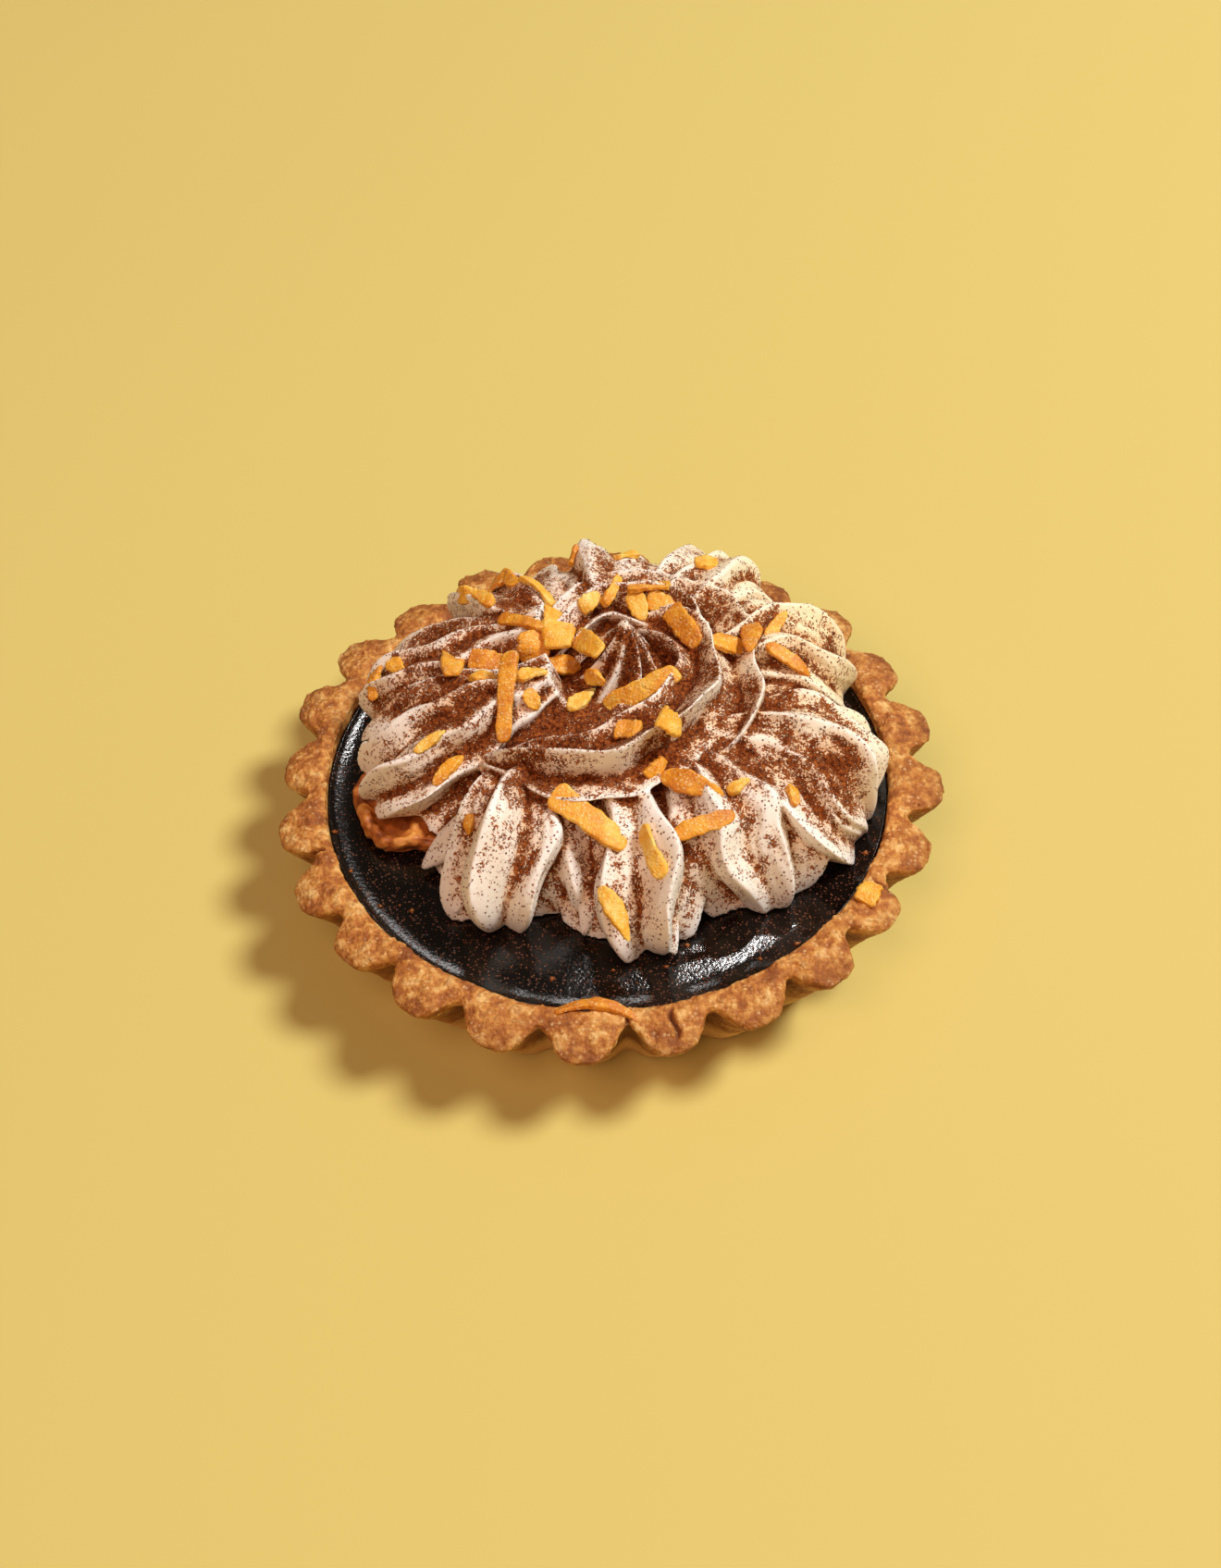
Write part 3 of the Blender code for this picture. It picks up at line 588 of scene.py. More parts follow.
def make_slice():
    """A dried slice: a thick wavy rim round a sunken, wrinkled middle."""
    turn = full_turn(240)
    half = 0.5 * SLICE_THICKNESS
    profile = [
        (0.2, -half), (0.86, -half), (0.97, -0.6 * half), (1.0, 0.0), (0.985, 0.6 * half), (0.93, half),
        (0.86, 0.9 * half), (0.78, 0.62 * half), *[(share, 0.5 * half) for share in (0.6, 0.4, 0.2, 0.04)],
    ]
    rings = []
    for share, height in smooth_line(profile, 70):
        reach = SLICE_RADIUS * share * (1.0 + (slice_wave(turn) - 1.0) * share)
        rings.append(SLICE_CENTRE + level_ring(reach, turn, height))
    dried = ring_body("dried_slice", rings)
    points, normals = points_and_normals(dried.data)
    wrinkle = 0.42 * MM * layered_noise(points, 1.8 * MM, 3, 51)
    set_vertices(dried.data, points + normals * wrinkle[:, None])
    point_attribute(dried.data, "relief", unit(0.5 + wrinkle / (0.7 * MM)))
    return dried


def chip_half_width(kind, share):
    """Half of a chip's width at a place from -1 to 1 along it, as a share of its full width."""
    roundness, taper = CHIP_FORMS[kind]
    return 0.5 * (1.0 - taper * share) * unit(1.0 - np.abs(share) ** roundness) ** 0.5


def chip_rings(kind, length, width, seed):
    """A chip along X, as closed cross-sections: bowed, slightly twisted, with torn edges."""
    rng = np.random.default_rng(seed)
    bow = PEEL_BOW * rng.uniform(0.3, 1.7)
    twist = rng.uniform(-0.5, 0.5)
    skew = rng.uniform(-0.25, 0.25)
    turn = full_turn(28)
    side, face = np.cos(turn), np.sin(turn)
    box = (np.abs(side) ** 8 + np.abs(face) ** 8) ** -0.125
    rings = []
    for share in np.sin(np.linspace(-0.5 * math.pi, 0.5 * math.pi, 44)) * 0.999:
        torn = 1.0 + 0.06 * math.sin(5.0 * share + seed) + 0.05 * math.sin(13.0 * share + 2.0 * seed)
        half = width * chip_half_width(kind, share) * torn
        swell = 0.75 + 0.25 * math.sin(3.0 * share + seed)
        thick = 0.5 * PEEL_THICKNESS * swell * min(1.0, 3.0 * half / width)
        across, out = half * side * box, thick * face * box
        aside = PEEL_BEND * length * (1.0 - share * share) if kind == "arc" else 0.0
        lean = twist * share
        x = 0.5 * length * share + skew * across
        y = across * math.cos(lean) - out * math.sin(lean) + aside
        z = across * math.sin(lean) + out * math.cos(lean) + bow * length * (1.0 - share * share)
        rings.append(np.stack([x, y, z + 0.5 * PEEL_THICKNESS], 1))
    return np.array(rings)


def resting_frame(tree, x, y, length, width, heading, lift):
    """How a chip lies: its middle, and its axes fitted to what is under its ends and its sides."""
    way = Vector((math.cos(math.radians(heading)), math.sin(math.radians(heading)), 0.0))
    beside = Vector((-way.y, way.x, 0.0))

    def drop(place, default=0.0):
        found = tree.ray_cast(Vector((place.x, place.y, HIGH_ABOVE)), DOWN)[0]
        return Vector((place.x, place.y, default)) if found is None else found

    here = Vector((x, y, 0.0))
    middle = drop(here)
    near, far = (drop(here + k * 0.4 * length * way, middle.z) for k in (-1.0, 1.0))
    left, right = (drop(here + k * 0.6 * width * beside, middle.z) for k in (1.0, -1.0))
    along = (far - near).normalized()
    up = along.cross((left - right).normalized()).normalized()
    across = up.cross(along)
    turned = Matrix.Rotation(-math.radians(lift), 3, across)
    along, up = turned @ along, turned @ up
    top = max(middle.z, 0.5 * (near.z + far.z)) - PEEL_SINK - 0.5 * PEEL_BOW * length
    return Matrix((along, across, up)).transposed(), Vector((middle.x, middle.y, top))


def make_chips(name, carrier, chips):
    """All the chips that lie on one carrier, as one piece."""
    graph = bpy.context.evaluated_depsgraph_get()
    tree = BVHTree.FromObject(carrier, graph)
    points, faces, tones = [], [], []
    for i, (kind, x, y, length, width, heading, lift) in enumerate(chips):
        length, width = length * MM, width * MM
        turned, rest = resting_frame(tree, x * MM, y * MM, length, width, heading, lift)
        rings = chip_rings(kind, length, width, i + 1)
        rows, columns = rings.shape[:2]
        flat = rings.reshape(-1, 3) @ np.array(turned).T + np.array(rest)
        start = len(points)
        points.extend(flat)
        faces += [[start + k for k in quad] for quad in grid_faces(rows, columns)]
        faces.append([start + k for k in reversed(range(columns))])
        faces.append([start + (rows - 1) * columns + k for k in range(columns)])
        tones += [(i * 0.618) % 1.0] * len(flat)
    chips = new_object(name, points, faces)
    points, normals = points_and_normals(chips.data)
    rough = 0.08 * MM * layered_noise(points, 1.0 * MM, 3, 61)
    set_vertices(chips.data, points + normals * rough[:, None])
    point_attribute(chips.data, "tone", tones)
    return chips


# Cocoa grains and crumbs


def scattered(name, places, sizes, seed):
    """Small angular lumps at the given places, as one piece."""
    rng = np.random.default_rng(seed)
    corners = np.array([(1, 0, 0), (-1, 0, 0), (0, 1, 0), (0, -1, 0), (0, 0, 1), (0, 0, -1)], float)
    sides = [(0, 2, 4), (2, 1, 4), (1, 3, 4), (3, 0, 4), (2, 0, 5), (1, 2, 5), (3, 1, 5), (0, 3, 5)]
    count = len(places)
    jolt = rng.uniform(-0.45, 0.45, (count, 6, 3))
    lumps = places[:, None] + sizes[:, None, None] * (corners + jolt)
    faces = np.array(sides)[None] + 6 * np.arange(count)[:, None, None]
    return new_object(name, lumps.reshape(-1, 3), faces.reshape(-1, 3).tolist())


def make_cocoa_grains(cream):
    """Coarse grains of cocoa on the piped cream, more of them where more cocoa fell."""
    rng = np.random.default_rng(71)
    points, normals = points_and_normals(cream.data)
    cocoa = np.empty(len(points))
    cream.data.attributes["cocoa"].data.foreach_get("value", cocoa)
    weight = (normals[:, 2] > 0.1) * (0.15 + unit(cocoa) ** 2)
    chosen = rng.choice(len(points), COCOA_GRAINS, p=weight / weight.sum())
    sizes = rng.uniform(*COCOA_GRAIN_SIZES, COCOA_GRAINS) * MM
    return scattered("cocoa_grains", points[chosen] + normals[chosen] * 0.3 * sizes[:, None], sizes, 72)


def make_filling_crumbs(name, filling, cream, count, sizes, seed):
    """Grains that lie on the open part of the filling."""
    graph = bpy.context.evaluated_depsgraph_get()
    under, over = BVHTree.FromObject(filling, graph), BVHTree.FromObject(cream, graph)
    rng = np.random.default_rng(seed)
    places = []
    while len(places) < count:
        turn = rng.uniform(0.0, 2.0 * math.pi)
        reach = (CAVITY_RADIUS - 0.8 * MM) * math.sqrt(rng.uniform(0.1, 1.0))
        above = Vector((reach * math.cos(turn), reach * math.sin(turn), HIGH_ABOVE))
        if over.ray_cast(above, DOWN)[0] is None:
            places.append(under.ray_cast(above, DOWN)[0][:])
    places = np.array(places) + (0.0, 0.0, 0.02 * MM)
    return scattered(name, places, rng.uniform(*sizes, count) * MM, seed + 1)


# The baked shell and its filling


def flute_wave(angle):
    """1 on the tip of a flute and 0 in a notch: broad round tips and narrow round notches."""
    turns = FLUTES * (angle - FLUTE_PHASE) / (2.0 * math.pi)
    off_tip = 2.0 * np.abs(turns - np.round(turns))
    return (0.5 + 0.5 * np.cos(math.pi * off_tip**FLUTE_FULLNESS)) ** NOTCH_ROUNDNESS


def soften_round(values, reach):
    """A circular running mean, which rounds the notches a little."""
    spread = np.arange(-3 * reach, 3 * reach + 1)
    weights = np.exp(-0.5 * (spread / reach) ** 2)
    return sum(w * np.roll(values, k) for w, k in zip(weights / weights.sum(), spread))


def make_crust():
    """The fluted shell: the same outline as its solid, made round and fine, with a sandy skin."""
    count = FLUTES * CRUST_POINTS_PER_FLUTE
    angle = FLUTE_PHASE + full_turn(count)
    wave = flute_wave(angle)
    lobe = np.round(FLUTES * (angle - FLUTE_PHASE) / (2.0 * math.pi)) % FLUTES
    lobe_gain = soften_round(np.sin(2.4 * lobe + 1.0), 6)
    wander = 0.45 * MM * np.sin(3.0 * angle + 0.6) + 0.3 * MM * np.sin(7.0 * angle + 2.0)
    base = BASE_NOTCH_RADIUS + (BASE_TIP_RADIUS - BASE_NOTCH_RADIUS) * wave + 0.5 * wander
    fuller = 0.25 * MM * lobe_gain * wave
    rim = RIM_NOTCH_RADIUS + (RIM_TIP_RADIUS - RIM_NOTCH_RADIUS) * wave + wander + fuller
    top = SHELL_HEIGHT + 0.25 * MM * np.sin(5.0 * angle) + 0.2 * MM * lobe_gain
    lip = rim - CAVITY_RADIUS
    drop, hollow = (0.5 + 0.9 * wave) * MM, (1.0 - wave) * MM
    flat = np.zeros(count)
    knots = [
        (base - 1.6 * MM, flat),
        (base - 0.6 * MM, flat),
        (base, flat + 0.6 * MM),
        (base + 0.3 * (rim - base) - 0.6 * hollow, 0.3 * top),
        (base + 0.6 * (rim - base) - 0.9 * hollow, 0.58 * top),
        (rim - 0.9 * MM - 0.5 * hollow, top - drop - 2.2 * MM),
        (rim - 0.3 * MM, top - drop - 1.1 * MM),
        (rim, top - drop - 0.4 * MM),
        (rim - 0.3 * MM, top - drop + 0.05 * MM),
        (rim - 0.2 * lip, top - 0.55 * drop),
        (CAVITY_RADIUS + 0.5 * lip, top - 0.1 * drop),
        (CAVITY_RADIUS + 0.25 * lip, top),
        (CAVITY_RADIUS + 0.05 * lip, top - 0.4 * MM),
        (CAVITY_RADIUS + flat, top - 1.3 * MM),
        (CAVITY_RADIUS + flat - 0.4 * MM, flat + FILL_LEVEL - 1.5 * MM),
    ]
    knots = np.array([np.concatenate([radius, height]) for radius, height in knots])
    outline = smooth_line(knots, CRUST_STEPS)
    radius, height = outline[:, :count], outline[:, count:]
    rings = np.stack([radius * np.cos(angle), radius * np.sin(angle), np.maximum(height, 0.0)], -1)
    crust = ring_body("baked_crust", rings)
    roughen_crust(crust)
    return crust


def crack_share(points):
    """1 in the middle of a crack, falling to 0 at its sides and ends."""
    split = np.zeros(len(points))
    for degrees, start, end in CRACKS:
        turn = math.radians(degrees)
        along = points[:, 0] * math.cos(turn) + points[:, 1] * math.sin(turn)
        aside = points[:, 1] * math.cos(turn) - points[:, 0] * math.sin(turn)
        aside = aside + CRACK_WANDER * np.sin(along / (0.7 * MM))
        share = unit((along - start * MM) / ((end - start) * MM))
        narrow = 1.0 - unit(np.abs(aside) / CRACK_HALF_WIDTH)
        split += narrow * np.sin(math.pi * share) ** 0.5
    return split


def roughen_crust(crust):
    """Adds the crumbly skin: swells, sandy grains, pits and cracks, none on the underside."""
    mesh = crust.data
    points, normals = points_and_normals(mesh)
    swells = 0.22 * layered_noise(points, 4.5 * MM, 2, 3)
    grains = 0.16 * layered_noise(points, 1.2 * MM, 2, 7)
    pits = -0.45 * unit(lattice_noise(points, 1.0 * MM, 21) - 0.5)
    crumbs = 0.45 * unit(lattice_noise(points, 0.8 * MM, 33) - 0.35)
    standing = unit((points[:, 2] - 0.6 * MM) / (1.5 * MM))
    reach = np.hypot(points[:, 0], points[:, 1])
    upper = np.clip((points[:, 2] - SHELL_HEIGHT + 4.0 * MM) / (2.0 * MM), 0.35, 1.0)
    strength = standing * upper * np.where(reach < CAVITY_RADIUS + 0.1 * MM, 0.3, 1.0) * MM
    split = crack_share(points) * upper
    moved = (swells + grains + pits + crumbs) * strength - CRACK_DEPTH * split
    set_vertices(mesh, points + normals * moved[:, None])
    point_attribute(mesh, "relief", unit(0.5 + 1.4 * (grains + pits + crumbs) - split))
    brown_and_shade_crust(mesh, points, reach, split)


def brown_and_shade_crust(mesh, points, reach, split):
    """Where the pastry is darker: painted shade on the wall under the rim, most in the notches, with
    browning at the outer edge and darker cracks; and where it is paler, at its foot.
    """
    height = points[:, 2]
    wave = flute_wave(np.arctan2(points[:, 1], points[:, 0]))
    under = unit((SHELL_HEIGHT - 1.6 * MM - height) / (2.5 * MM))
    outside = unit((reach - CAVITY_RADIUS + 4.0 * MM) / MM)
    raised = unit(height / (7.0 * MM))
    # Painted shade: darker on the wall under the rim and most in the notches, where the pastry lies in
    # shade
    depth = under * outside * (0.35 + 0.65 * (1.0 - wave)) * raised
    edge = unit((reach - CAVITY_RADIUS) / (RIM_TIP_RADIUS - CAVITY_RADIUS))
    browned_and_painted_shade = depth + 0.3 * edge**3 * (1.0 - under) + 0.8 * split
    point_attribute(mesh, "browned_and_painted_shade", unit(browned_and_painted_shade))
    point_attribute(mesh, "low", unit(1.7 - height / (4.0 * MM)))


def make_filling():
    """The glossy filling: level and gently lumpy, drawn up where it meets the pastry."""
    turn = full_turn(FILLING_POINTS)
    edge = CAVITY_RADIUS - FIT_GAP + 0.15 * MM
    rings = [level_ring(0.9 * edge, turn, FILL_LEVEL - 3.0 * MM)]
    for share in np.linspace(1.0, 0.02, FILLING_STEPS):
        reach = edge * share
        climb = unit(1.0 - (edge - reach) / (1.3 * FILL_EDGE_WIDTH))
        bank = unit(1.0 - (edge - reach) / (4.0 * FILL_EDGE_WIDTH))
        ring = level_ring(reach, turn, FILL_LEVEL + FILL_EDGE_RISE * (0.2 * climb**2 + 0.8 * bank**2))
        calm = min(1.0, (1.0 - share) * 12.0)
        for height, length, layers, seed in FILLING_WAVES:
            ring[:, 2] += calm * height * MM * layered_noise(ring, length * MM, layers, seed)
        rings.append(ring)
    return ring_body("set_filling", rings)


# Materials


def node_material(name):
    made = bpy.data.materials.new(name)
    made.use_nodes = True
    return made, made.node_tree, made.node_tree.nodes["Principled BSDF"]


def add_node(tree, kind, **settings):
    """A new node with its values and its properties set by name."""
    node = tree.nodes.new(kind)
    for key, value in settings.items():
        if key in node.inputs:
            node.inputs[key].default_value = value
        else:
            setattr(node, key, value)
    return node


def srgb(red, green, blue):
    """A colour given as the eye sees it, from 0 to 255, in linear light."""
    parts = [c / 255.0 for c in (red, green, blue)]
    return (*[c / 12.92 if c <= 0.04045 else ((c + 0.055) / 1.055) ** 2.4 for c in parts], 1.0)


def place_in_piece(tree, node):
    """Ties a texture to the piece's own coordinates."""
    where = add_node(tree, "ShaderNodeTexCoord")
    tree.links.new(where.outputs["Object"], node.inputs["Vector"])


def noise(tree, scale, detail, roughness):
    """Soft noise from 0 to 1: scale is features per metre."""
    made = add_node(tree, "ShaderNodeTexNoise", Scale=scale, Detail=detail, Roughness=roughness)
    place_in_piece(tree, made)
    return made.outputs["Fac"]


def cells(tree, scale):
    """Small cells: how far each place is from its cell's middle, and a value for each cell."""
    made = add_node(tree, "ShaderNodeTexVoronoi", Scale=scale)
    place_in_piece(tree, made)
    return made.outputs["Distance"], made.outputs["Color"]


def attribute(tree, name):
    return add_node(tree, "ShaderNodeAttribute", attribute_name=name).outputs["Fac"]


def feed(tree, socket, value):
    """Sets a socket to a number or a colour from 0 to 255, or links a value to it."""
    if isinstance(value, float):
        socket.default_value = value
    elif isinstance(value, tuple):
        socket.default_value = srgb(*value)
    else:
        tree.links.new(value, socket)


def paint(tree, shader, **looks):
    """Feeds the shader's sockets, each named by its words joined with underscores."""
    for name, value in looks.items():
        feed(tree, shader.inputs[name.replace("_", " ")], value)


def ramp(tree, value, stops):
    """A colour that follows a value: each stop is a value and its colour from 0 to 255."""
    made = add_node(tree, "ShaderNodeValToRGB")
    while len(made.color_ramp.elements) < len(stops):
        made.color_ramp.elements.new(0.5)
    for element, (at, colour) in zip(made.color_ramp.elements, stops):
        element.position, element.color = at, srgb(*colour)
    tree.links.new(value, made.inputs["Fac"])
    return made.outputs["Color"]


def step_between(tree, value, low, high):
    """0 at low, 1 at high and smooth between."""
    made = add_node(tree, "ShaderNodeMapRange", interpolation_type="SMOOTHSTEP")
    made.inputs["From Min"].default_value, made.inputs["From Max"].default_value = low, high
    tree.links.new(value, made.inputs["Value"])
    return made.outputs["Result"]


def spread(tree, share, start, end):
    """A value that goes from start to end while the share goes from 0 to 1."""
    made = add_node(tree, "ShaderNodeMapRange")
    made.inputs["To Min"].default_value, made.inputs["To Max"].default_value = start, end
    tree.links.new(share, made.inputs["Value"])
    return made.outputs["Result"]


def combine(tree, operation, first, second):
    made = add_node(tree, "ShaderNodeMath", operation=operation)
    feed(tree, made.inputs[0], first)
    feed(tree, made.inputs[1], second)
    return made.outputs["Value"]


def times(tree, first, second):
    return combine(tree, "MULTIPLY", first, second)


def weighed(tree, *parts):
    """The sum of some values, each times its own weight."""
    total = 0.0
    for value, weight in parts:
        total = combine(tree, "ADD", total, times(tree, value, weight))
    return total


def specks(tree, apart, pick, size, share):
    """Small specks in some of the cells: from and to which distance, and for which picks."""
    return times(tree, step_between(tree, apart, *size), step_between(tree, pick, *share))


def mix_colour(tree, share, first, second):
    """The first colour, turning to the second as the share goes from 0 to 1."""
    made = add_node(tree, "ShaderNodeMix", data_type="RGBA")
    feed(tree, made.inputs["Factor"], share)
    colours = [socket for socket in made.inputs if socket.type == "RGBA"]
    feed(tree, colours[0], first)
    feed(tree, colours[1], second)
    return next(out for out in made.outputs if out.type == "RGBA")


def bump(tree, shader, height, strength, distance):
    made = add_node(tree, "ShaderNodeBump", Strength=strength, Distance=distance)
    tree.links.new(height, made.inputs["Height"])
    tree.links.new(made.outputs["Normal"], shader.inputs["Normal"])


def translucent(shader, weight, radius, depth):
    """Lets light into the surface, and out again beside where it came in."""
    shader.inputs["Subsurface Weight"].default_value = weight
    shader.inputs["Subsurface Radius"].default_value = radius
    shader.inputs["Subsurface Scale"].default_value = depth


def pastry_material():
    """Golden brown and mottled, with pale and burnt flecks, painted shade in the hollows and a pale foot.
    """
    made, tree, shader = node_material("pastry")
    mottle = weighed(tree, (noise(tree, 260.0, 5.0, 0.7), 0.75), (attribute(tree, "relief"), 0.25))
    tone = ramp(tree, mottle, [
        (0.38, (144, 78, 26)), (0.47, (184, 110, 42)), (0.54, (215, 147, 68)), (0.63, (242, 194, 120)),
    ])
    apart, pick = cells(tree, 1700.0)
    here = step_between(tree, noise(tree, 420.0, 3.0, 0.6), 0.40, 0.62)
    pale = times(tree, specks(tree, apart, pick, (0.62, 0.20), (0.48, 0.75)), here)
    burnt = step_between(tree, pick, 0.38, 0.26)
    tone = mix_colour(tree, times(tree, pale, 0.55), tone, (246, 206, 146))
    tone = mix_colour(tree, times(tree, burnt, 0.45), tone, (150, 82, 32))
    # Painted shade in the notches and on the wall under the rim, with browning at the outer edge and in
    # the cracks
    tone = mix_colour(tree, times(tree, attribute(tree, "browned_and_painted_shade"), 0.9), tone, (98, 54, 22))
    tone = mix_colour(tree, times(tree, attribute(tree, "low"), 0.9), tone, (234, 186, 124))
    paint(tree, shader, Base_Color=tone, Roughness=0.6, Specular_IOR_Level=0.35)
    height = weighed(tree, (noise(tree, 1700.0, 4.0, 0.7), 1.0), (apart, -0.6))
    bump(tree, shader, height, 0.85, 0.34 * MM)
    return made


def filling_material():
    """Near-black and glossy, with dull reddish specks of cocoa."""
    made, tree, shader = node_material("ganache")
    patches = noise(tree, 90.0, 3.0, 0.6)
    apart, pick = cells(tree, 2300.0)
    chosen = weighed(tree, (pick, 1.0), (patches, 0.6))
    spots = specks(tree, apart, chosen, (0.45, 0.28), (0.93, 1.02))
    base = ramp(tree, patches, [(0.35, (10, 7, 6)), (0.7, (20, 13, 10))])
    tone = mix_colour(tree, spots, base, (88, 46, 28))
    rough = spread(tree, spots, 0.1, 0.7)
    paint(tree, shader, Base_Color=tone, Roughness=rough, Specular_IOR_Level=0.4)
    bump(tree, shader, noise(tree, 2100.0, 2.0, 0.55), 0.7, 0.035 * MM)
    return made


def cream_material():
    """Warm white with painted yellow bounce light at the right and in the grooves, stained and speckled
    with cocoa, and under powder where much of it fell.
    """
    made, tree, shader = node_material("cream")
    dust = attribute(tree, "cocoa")
    speckle = noise(tree, 1900.0, 3.0, 0.65)
    fine, coarse = noise(tree, 3800.0, 2.0, 0.6), noise(tree, 520.0, 4.0, 0.65)
    covered = weighed(tree, (speckle, 0.8), (fine, 0.5), (coarse, 0.9), (dust, 0.46))
    apart, pick = cells(tree, 1900.0)
    dots = specks(tree, apart, pick, (0.38, 0.26), (0.56, 0.66))
    cover = combine(tree, "MAXIMUM", step_between(tree, covered, 1.34, 1.44), times(tree, dots, 0.9))
    # Painted bounce light: the white turns yellowish at the right and in the grooves, as if lit by light
    # thrown back from the yellow floor
    white = mix_colour(tree, attribute(tree, "painted_bounce_light"), (254, 243, 232), (254, 234, 190))
    stain = times(tree, step_between(tree, dust, 0.2, 1.0), 0.75)
    white = mix_colour(tree, stain, white, (234, 176, 112))
    powder = ramp(tree, speckle, [(0.35, (58, 20, 6)), (0.50, (112, 52, 22)), (0.66, (170, 96, 46))])
    tone = mix_colour(tree, cover, white, powder)
    rough, gloss = spread(tree, cover, 0.48, 0.95), spread(tree, cover, 0.4, 0.05)
    paint(tree, shader, Base_Color=tone, Roughness=rough, Specular_IOR_Level=gloss)
    translucent(shader, 0.15, (1.0, 0.75, 0.55), 1.0 * MM)
    bump(tree, shader, weighed(tree, (speckle, 1.0), (cover, 0.8)), 0.5, 0.12 * MM)
    return made


def cocoa_material():
    made, tree, shader = node_material("cocoa")
    tone = ramp(tree, noise(tree, 900.0, 2.0, 0.6), [(0.35, (84, 38, 16)), (0.65, (160, 94, 54))])
    paint(tree, shader, Base_Color=tone, Roughness=0.85)
    return made


def peel_material():
    """Orange-yellow candied peel, each chip in its own tone, with pale sugar on it."""
    made, tree, shader = node_material("peel")
    mottle = weighed(tree, (noise(tree, 420.0, 4.0, 0.65), 0.75), (attribute(tree, "tone"), 0.3))
    tone = ramp(tree, mottle, [
        (0.36, (214, 128, 20)), (0.50, (240, 164, 38)), (0.64, (250, 190, 66)), (0.80, (254, 222, 132)),
    ])
    apart, pick = cells(tree, 2600.0)
    frost = specks(tree, apart, pick, (0.6, 0.2), (0.5, 0.8))
    tone = mix_colour(tree, times(tree, frost, 0.6), tone, (255, 232, 170))
    paint(tree, shader, Base_Color=tone, Roughness=0.5)
    translucent(shader, 0.25, (1.0, 0.5, 0.15), 0.8 * MM)
    height = weighed(tree, (noise(tree, 1300.0, 3.0, 0.65), 1.0), (apart, -0.5))
    bump(tree, shader, height, 0.8, 0.22 * MM)
    return made


def fruit_material():
    """Caramel-orange dried fruit, paler on the folds."""
    made, tree, shader = node_material("dried_fruit")
    mottle = weighed(tree, (noise(tree, 260.0, 4.0, 0.65), 0.7), (attribute(tree, "relief"), 0.3))
    tone = ramp(tree, mottle, [
        (0.34, (136, 66, 22)), (0.48, (186, 104, 42)), (0.60, (214, 138, 62)), (0.74, (240, 176, 92)),
    ])
    paint(tree, shader, Base_Color=tone, Roughness=0.4)
    translucent(shader, 0.2, (1.0, 0.4, 0.1), 1.0 * MM)
    bump(tree, shader, noise(tree, 1300.0, 4.0, 0.65), 0.6, 0.2 * MM)
    return made


# Cocoa on the cream


def dust_cream(cream):
    """How much cocoa lies at each point: most where it fell, where the cream faces up and in the
    grooves. Painted yellow bounce light also tints the cream's white at the right and in the grooves."""
    mesh = cream.data
    points, normals = points_and_normals(mesh)
    facing = unit(normals[:, 2])
    hollow = groove_depth(mesh, points, normals)
    place = points / MM
    fallen = np.zeros(len(points))
    for (x, y), reach, strength in DUSTINGS:
        away = ((place[:, 0] - x) ** 2 + (place[:, 1] - y) ** 2) / reach**2
        fallen += strength * np.exp(-away)
    patch = layered_noise(points, 6.0 * MM, 2, 41)
    steep = unit(1.0 - normals[:, 2] * 2.2)
    cocoa = 0.35 + 0.42 * fallen * (0.5 + 0.5 * facing) + 0.08 * facing - 0.06 * steep
    cocoa += 0.50 * hollow + 0.34 * patch * (0.6 + 0.4 * facing)
    point_attribute(mesh, "cocoa", np.clip(cocoa, 0.0, 1.2))
    x, y = place[:, 0], place[:, 1]
    # Painted bounce light: a yellowish tint at the right side and in the grooves
    right = unit((x - 4.0) / 26.0) * unit((y + 18.0) / 30.0)
    point_attribute(mesh, "painted_bounce_light", unit(0.15 + 0.85 * right + 0.3 * hollow))


def groove_depth(mesh, points, normals):
    """Above 0 in a groove and below 0 on a crest: how far a point lies under its surroundings."""
    edges = np.empty(len(mesh.edges) * 2, np.int64)
    mesh.edges.foreach_get("vertices", edges)
    first, second = edges.reshape(-1, 2).T
    count = np.bincount(first, minlength=len(points)) + np.bincount(second, minlength=len(points))
    blurred = points.copy()
    for _ in range(GROOVE_BLUR):
        total = np.zeros_like(blurred)
        for axis in range(3):
            total[:, axis] = np.bincount(first, blurred[second, axis], len(points))
            total[:, axis] += np.bincount(second, blurred[first, axis], len(points))
        blurred = total / count[:, None]
    return np.clip(((blurred - points) * normals).sum(1) / (0.5 * MM), -1.0, 1.0)


# Floor, lights and camera


def backdrop():
    """A plain pale floor."""
    made, tree, shader = node_material("floor")
    paint(tree, shader, Base_Color=FLOOR_COLOUR, Roughness=0.85)
    far = FLOOR_HALF_WIDTH
    corners = [(-far, -far, 0), (far, -far, 0), (far, far, 0), (-far, far, 0)]
    floor = new_object("floor", corners, [(0, 1, 2, 3)])
    floor.data.materials.append(made)


def softbox(name, azimuth, elevation, distance, size, power, colour, gloss_only):
    """A round soft light. Azimuth 0 is straight behind the tart and 90 is to its right."""
    turn, tilt = math.radians(azimuth), math.radians(elevation)
    way = Vector((math.sin(turn) * math.cos(tilt), math.cos(turn) * math.cos(tilt), math.sin(tilt)))
    light = bpy.data.lights.new(name, "AREA")
    light.shape, light.size, light.energy, light.color = "DISK", size, power, colour
    obj = bpy.data.objects.new(name, light)
    obj.location = distance * way
    obj.rotation_euler = (Vector(LIGHTS_AIM) - obj.location).to_track_quat("-Z", "Y").to_euler()
    obj.visible_diffuse = not gloss_only
    bpy.context.scene.collection.objects.link(obj)


def lighting():
    for name, settings in LIGHTS.items():
        softbox(name, *settings)
    world = bpy.data.worlds.new("studio")
    world.use_nodes = True
    background = world.node_tree.nodes["Background"]
    background.inputs["Color"].default_value = AMBIENT_COLOUR
    background.inputs["Strength"].default_value = AMBIENT_STRENGTH
    bpy.context.scene.world = world
    bpy.context.scene.view_settings.view_transform = "Standard"


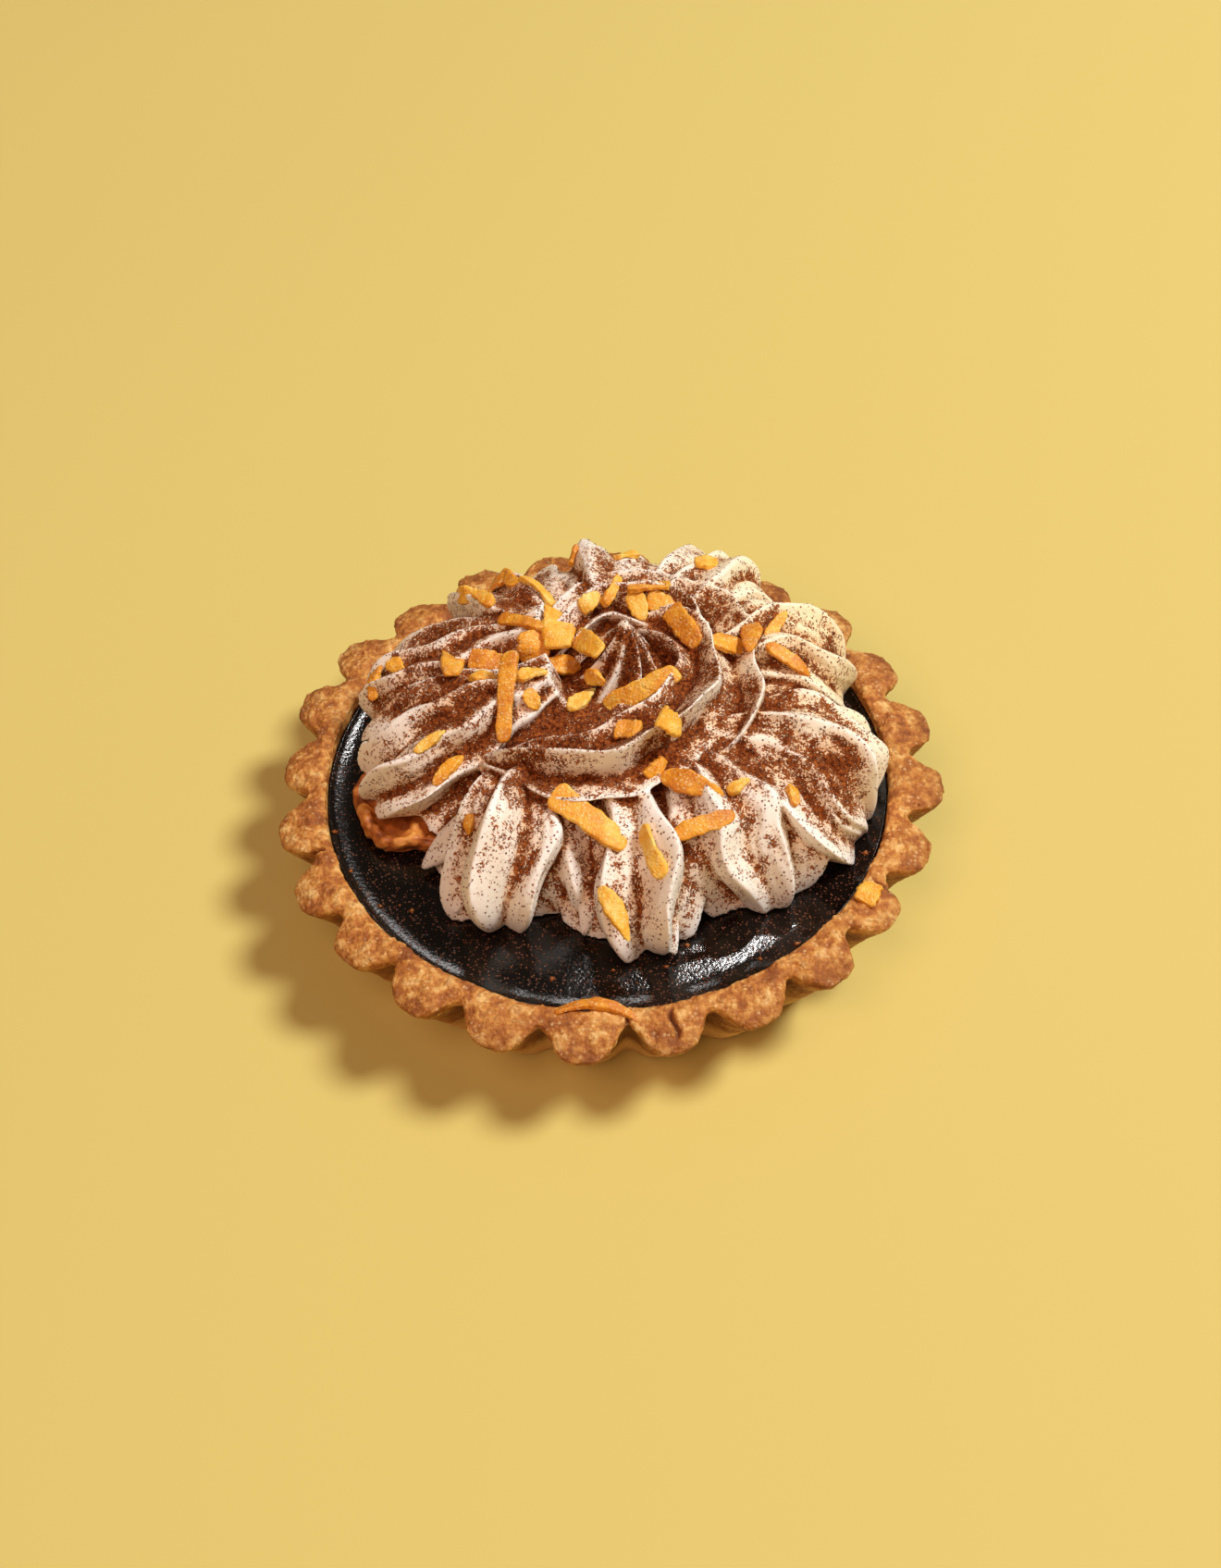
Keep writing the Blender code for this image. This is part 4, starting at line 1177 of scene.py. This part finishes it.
def photo_camera():
    """The camera of the photograph: its elevation, distance and tilt, aimed so that the middle
    of the tart's base falls at BASE_PIXEL."""
    camera = bpy.data.objects.new("camera", bpy.data.cameras.new("camera"))
    bpy.context.scene.collection.objects.link(camera)
    tilt, roll = math.radians(CAMERA_ELEVATION), math.radians(CAMERA_ROLL)
    back = Vector((0.0, -math.cos(tilt), math.sin(tilt)))
    right = Vector((math.cos(roll), math.sin(roll) * math.sin(tilt), math.sin(roll) * math.cos(tilt)))
    up = back.cross(right)
    turn = Matrix((right, up, back)).transposed()
    off_x = (BASE_PIXEL[0] - IMAGE_SIZE[0] / 2) / FOCAL_PIXELS
    off_y = (BASE_PIXEL[1] - IMAGE_SIZE[1] / 2) / FOCAL_PIXELS
    turn = turn @ Matrix.Rotation(math.atan(off_x), 3, "Y") @ Matrix.Rotation(math.atan(off_y), 3, "X")
    camera.matrix_world = Matrix.Translation(back * CAMERA_DISTANCE) @ turn.to_4x4()
    camera.data.sensor_width = SENSOR_WIDTH
    camera.data.lens = FOCAL_PIXELS * SENSOR_WIDTH / max(IMAGE_SIZE)
    camera.data.clip_start = 0.01
    bpy.context.scene.camera = camera


photo_camera()
backdrop()
lighting()

cream = make_cream()
dust_cream(cream)
crust = make_crust()
pastry = pastry_material()
peel = peel_material()
cocoa = cocoa_material()

finish_piece(cream, cream_material(), "whipped_cream")
finish_piece(crust, pastry, "crust")
finish_piece(make_chips("peel_chips", cream, CHIPS), peel, "whipped_cream")
finish_piece(make_chips("rim_peel", crust, RIM_CHIPS), peel, "crust")
finish_piece(make_slice(), fruit_material(), "fruit_slice")
filling = make_filling()
finish_piece(filling, filling_material(), "filling")
finish_piece(make_cocoa_grains(cream), cocoa, "whipped_cream")
grains = make_filling_crumbs("filling_grains", filling, cream, FILLING_GRAINS, FILLING_GRAIN_SIZES, 81)
finish_piece(grains, cocoa, "filling")
crumbs = make_filling_crumbs("filling_crumbs", filling, cream, PASTRY_CRUMBS, PASTRY_CRUMB_SIZES, 91)
finish_piece(crumbs, pastry, "filling")
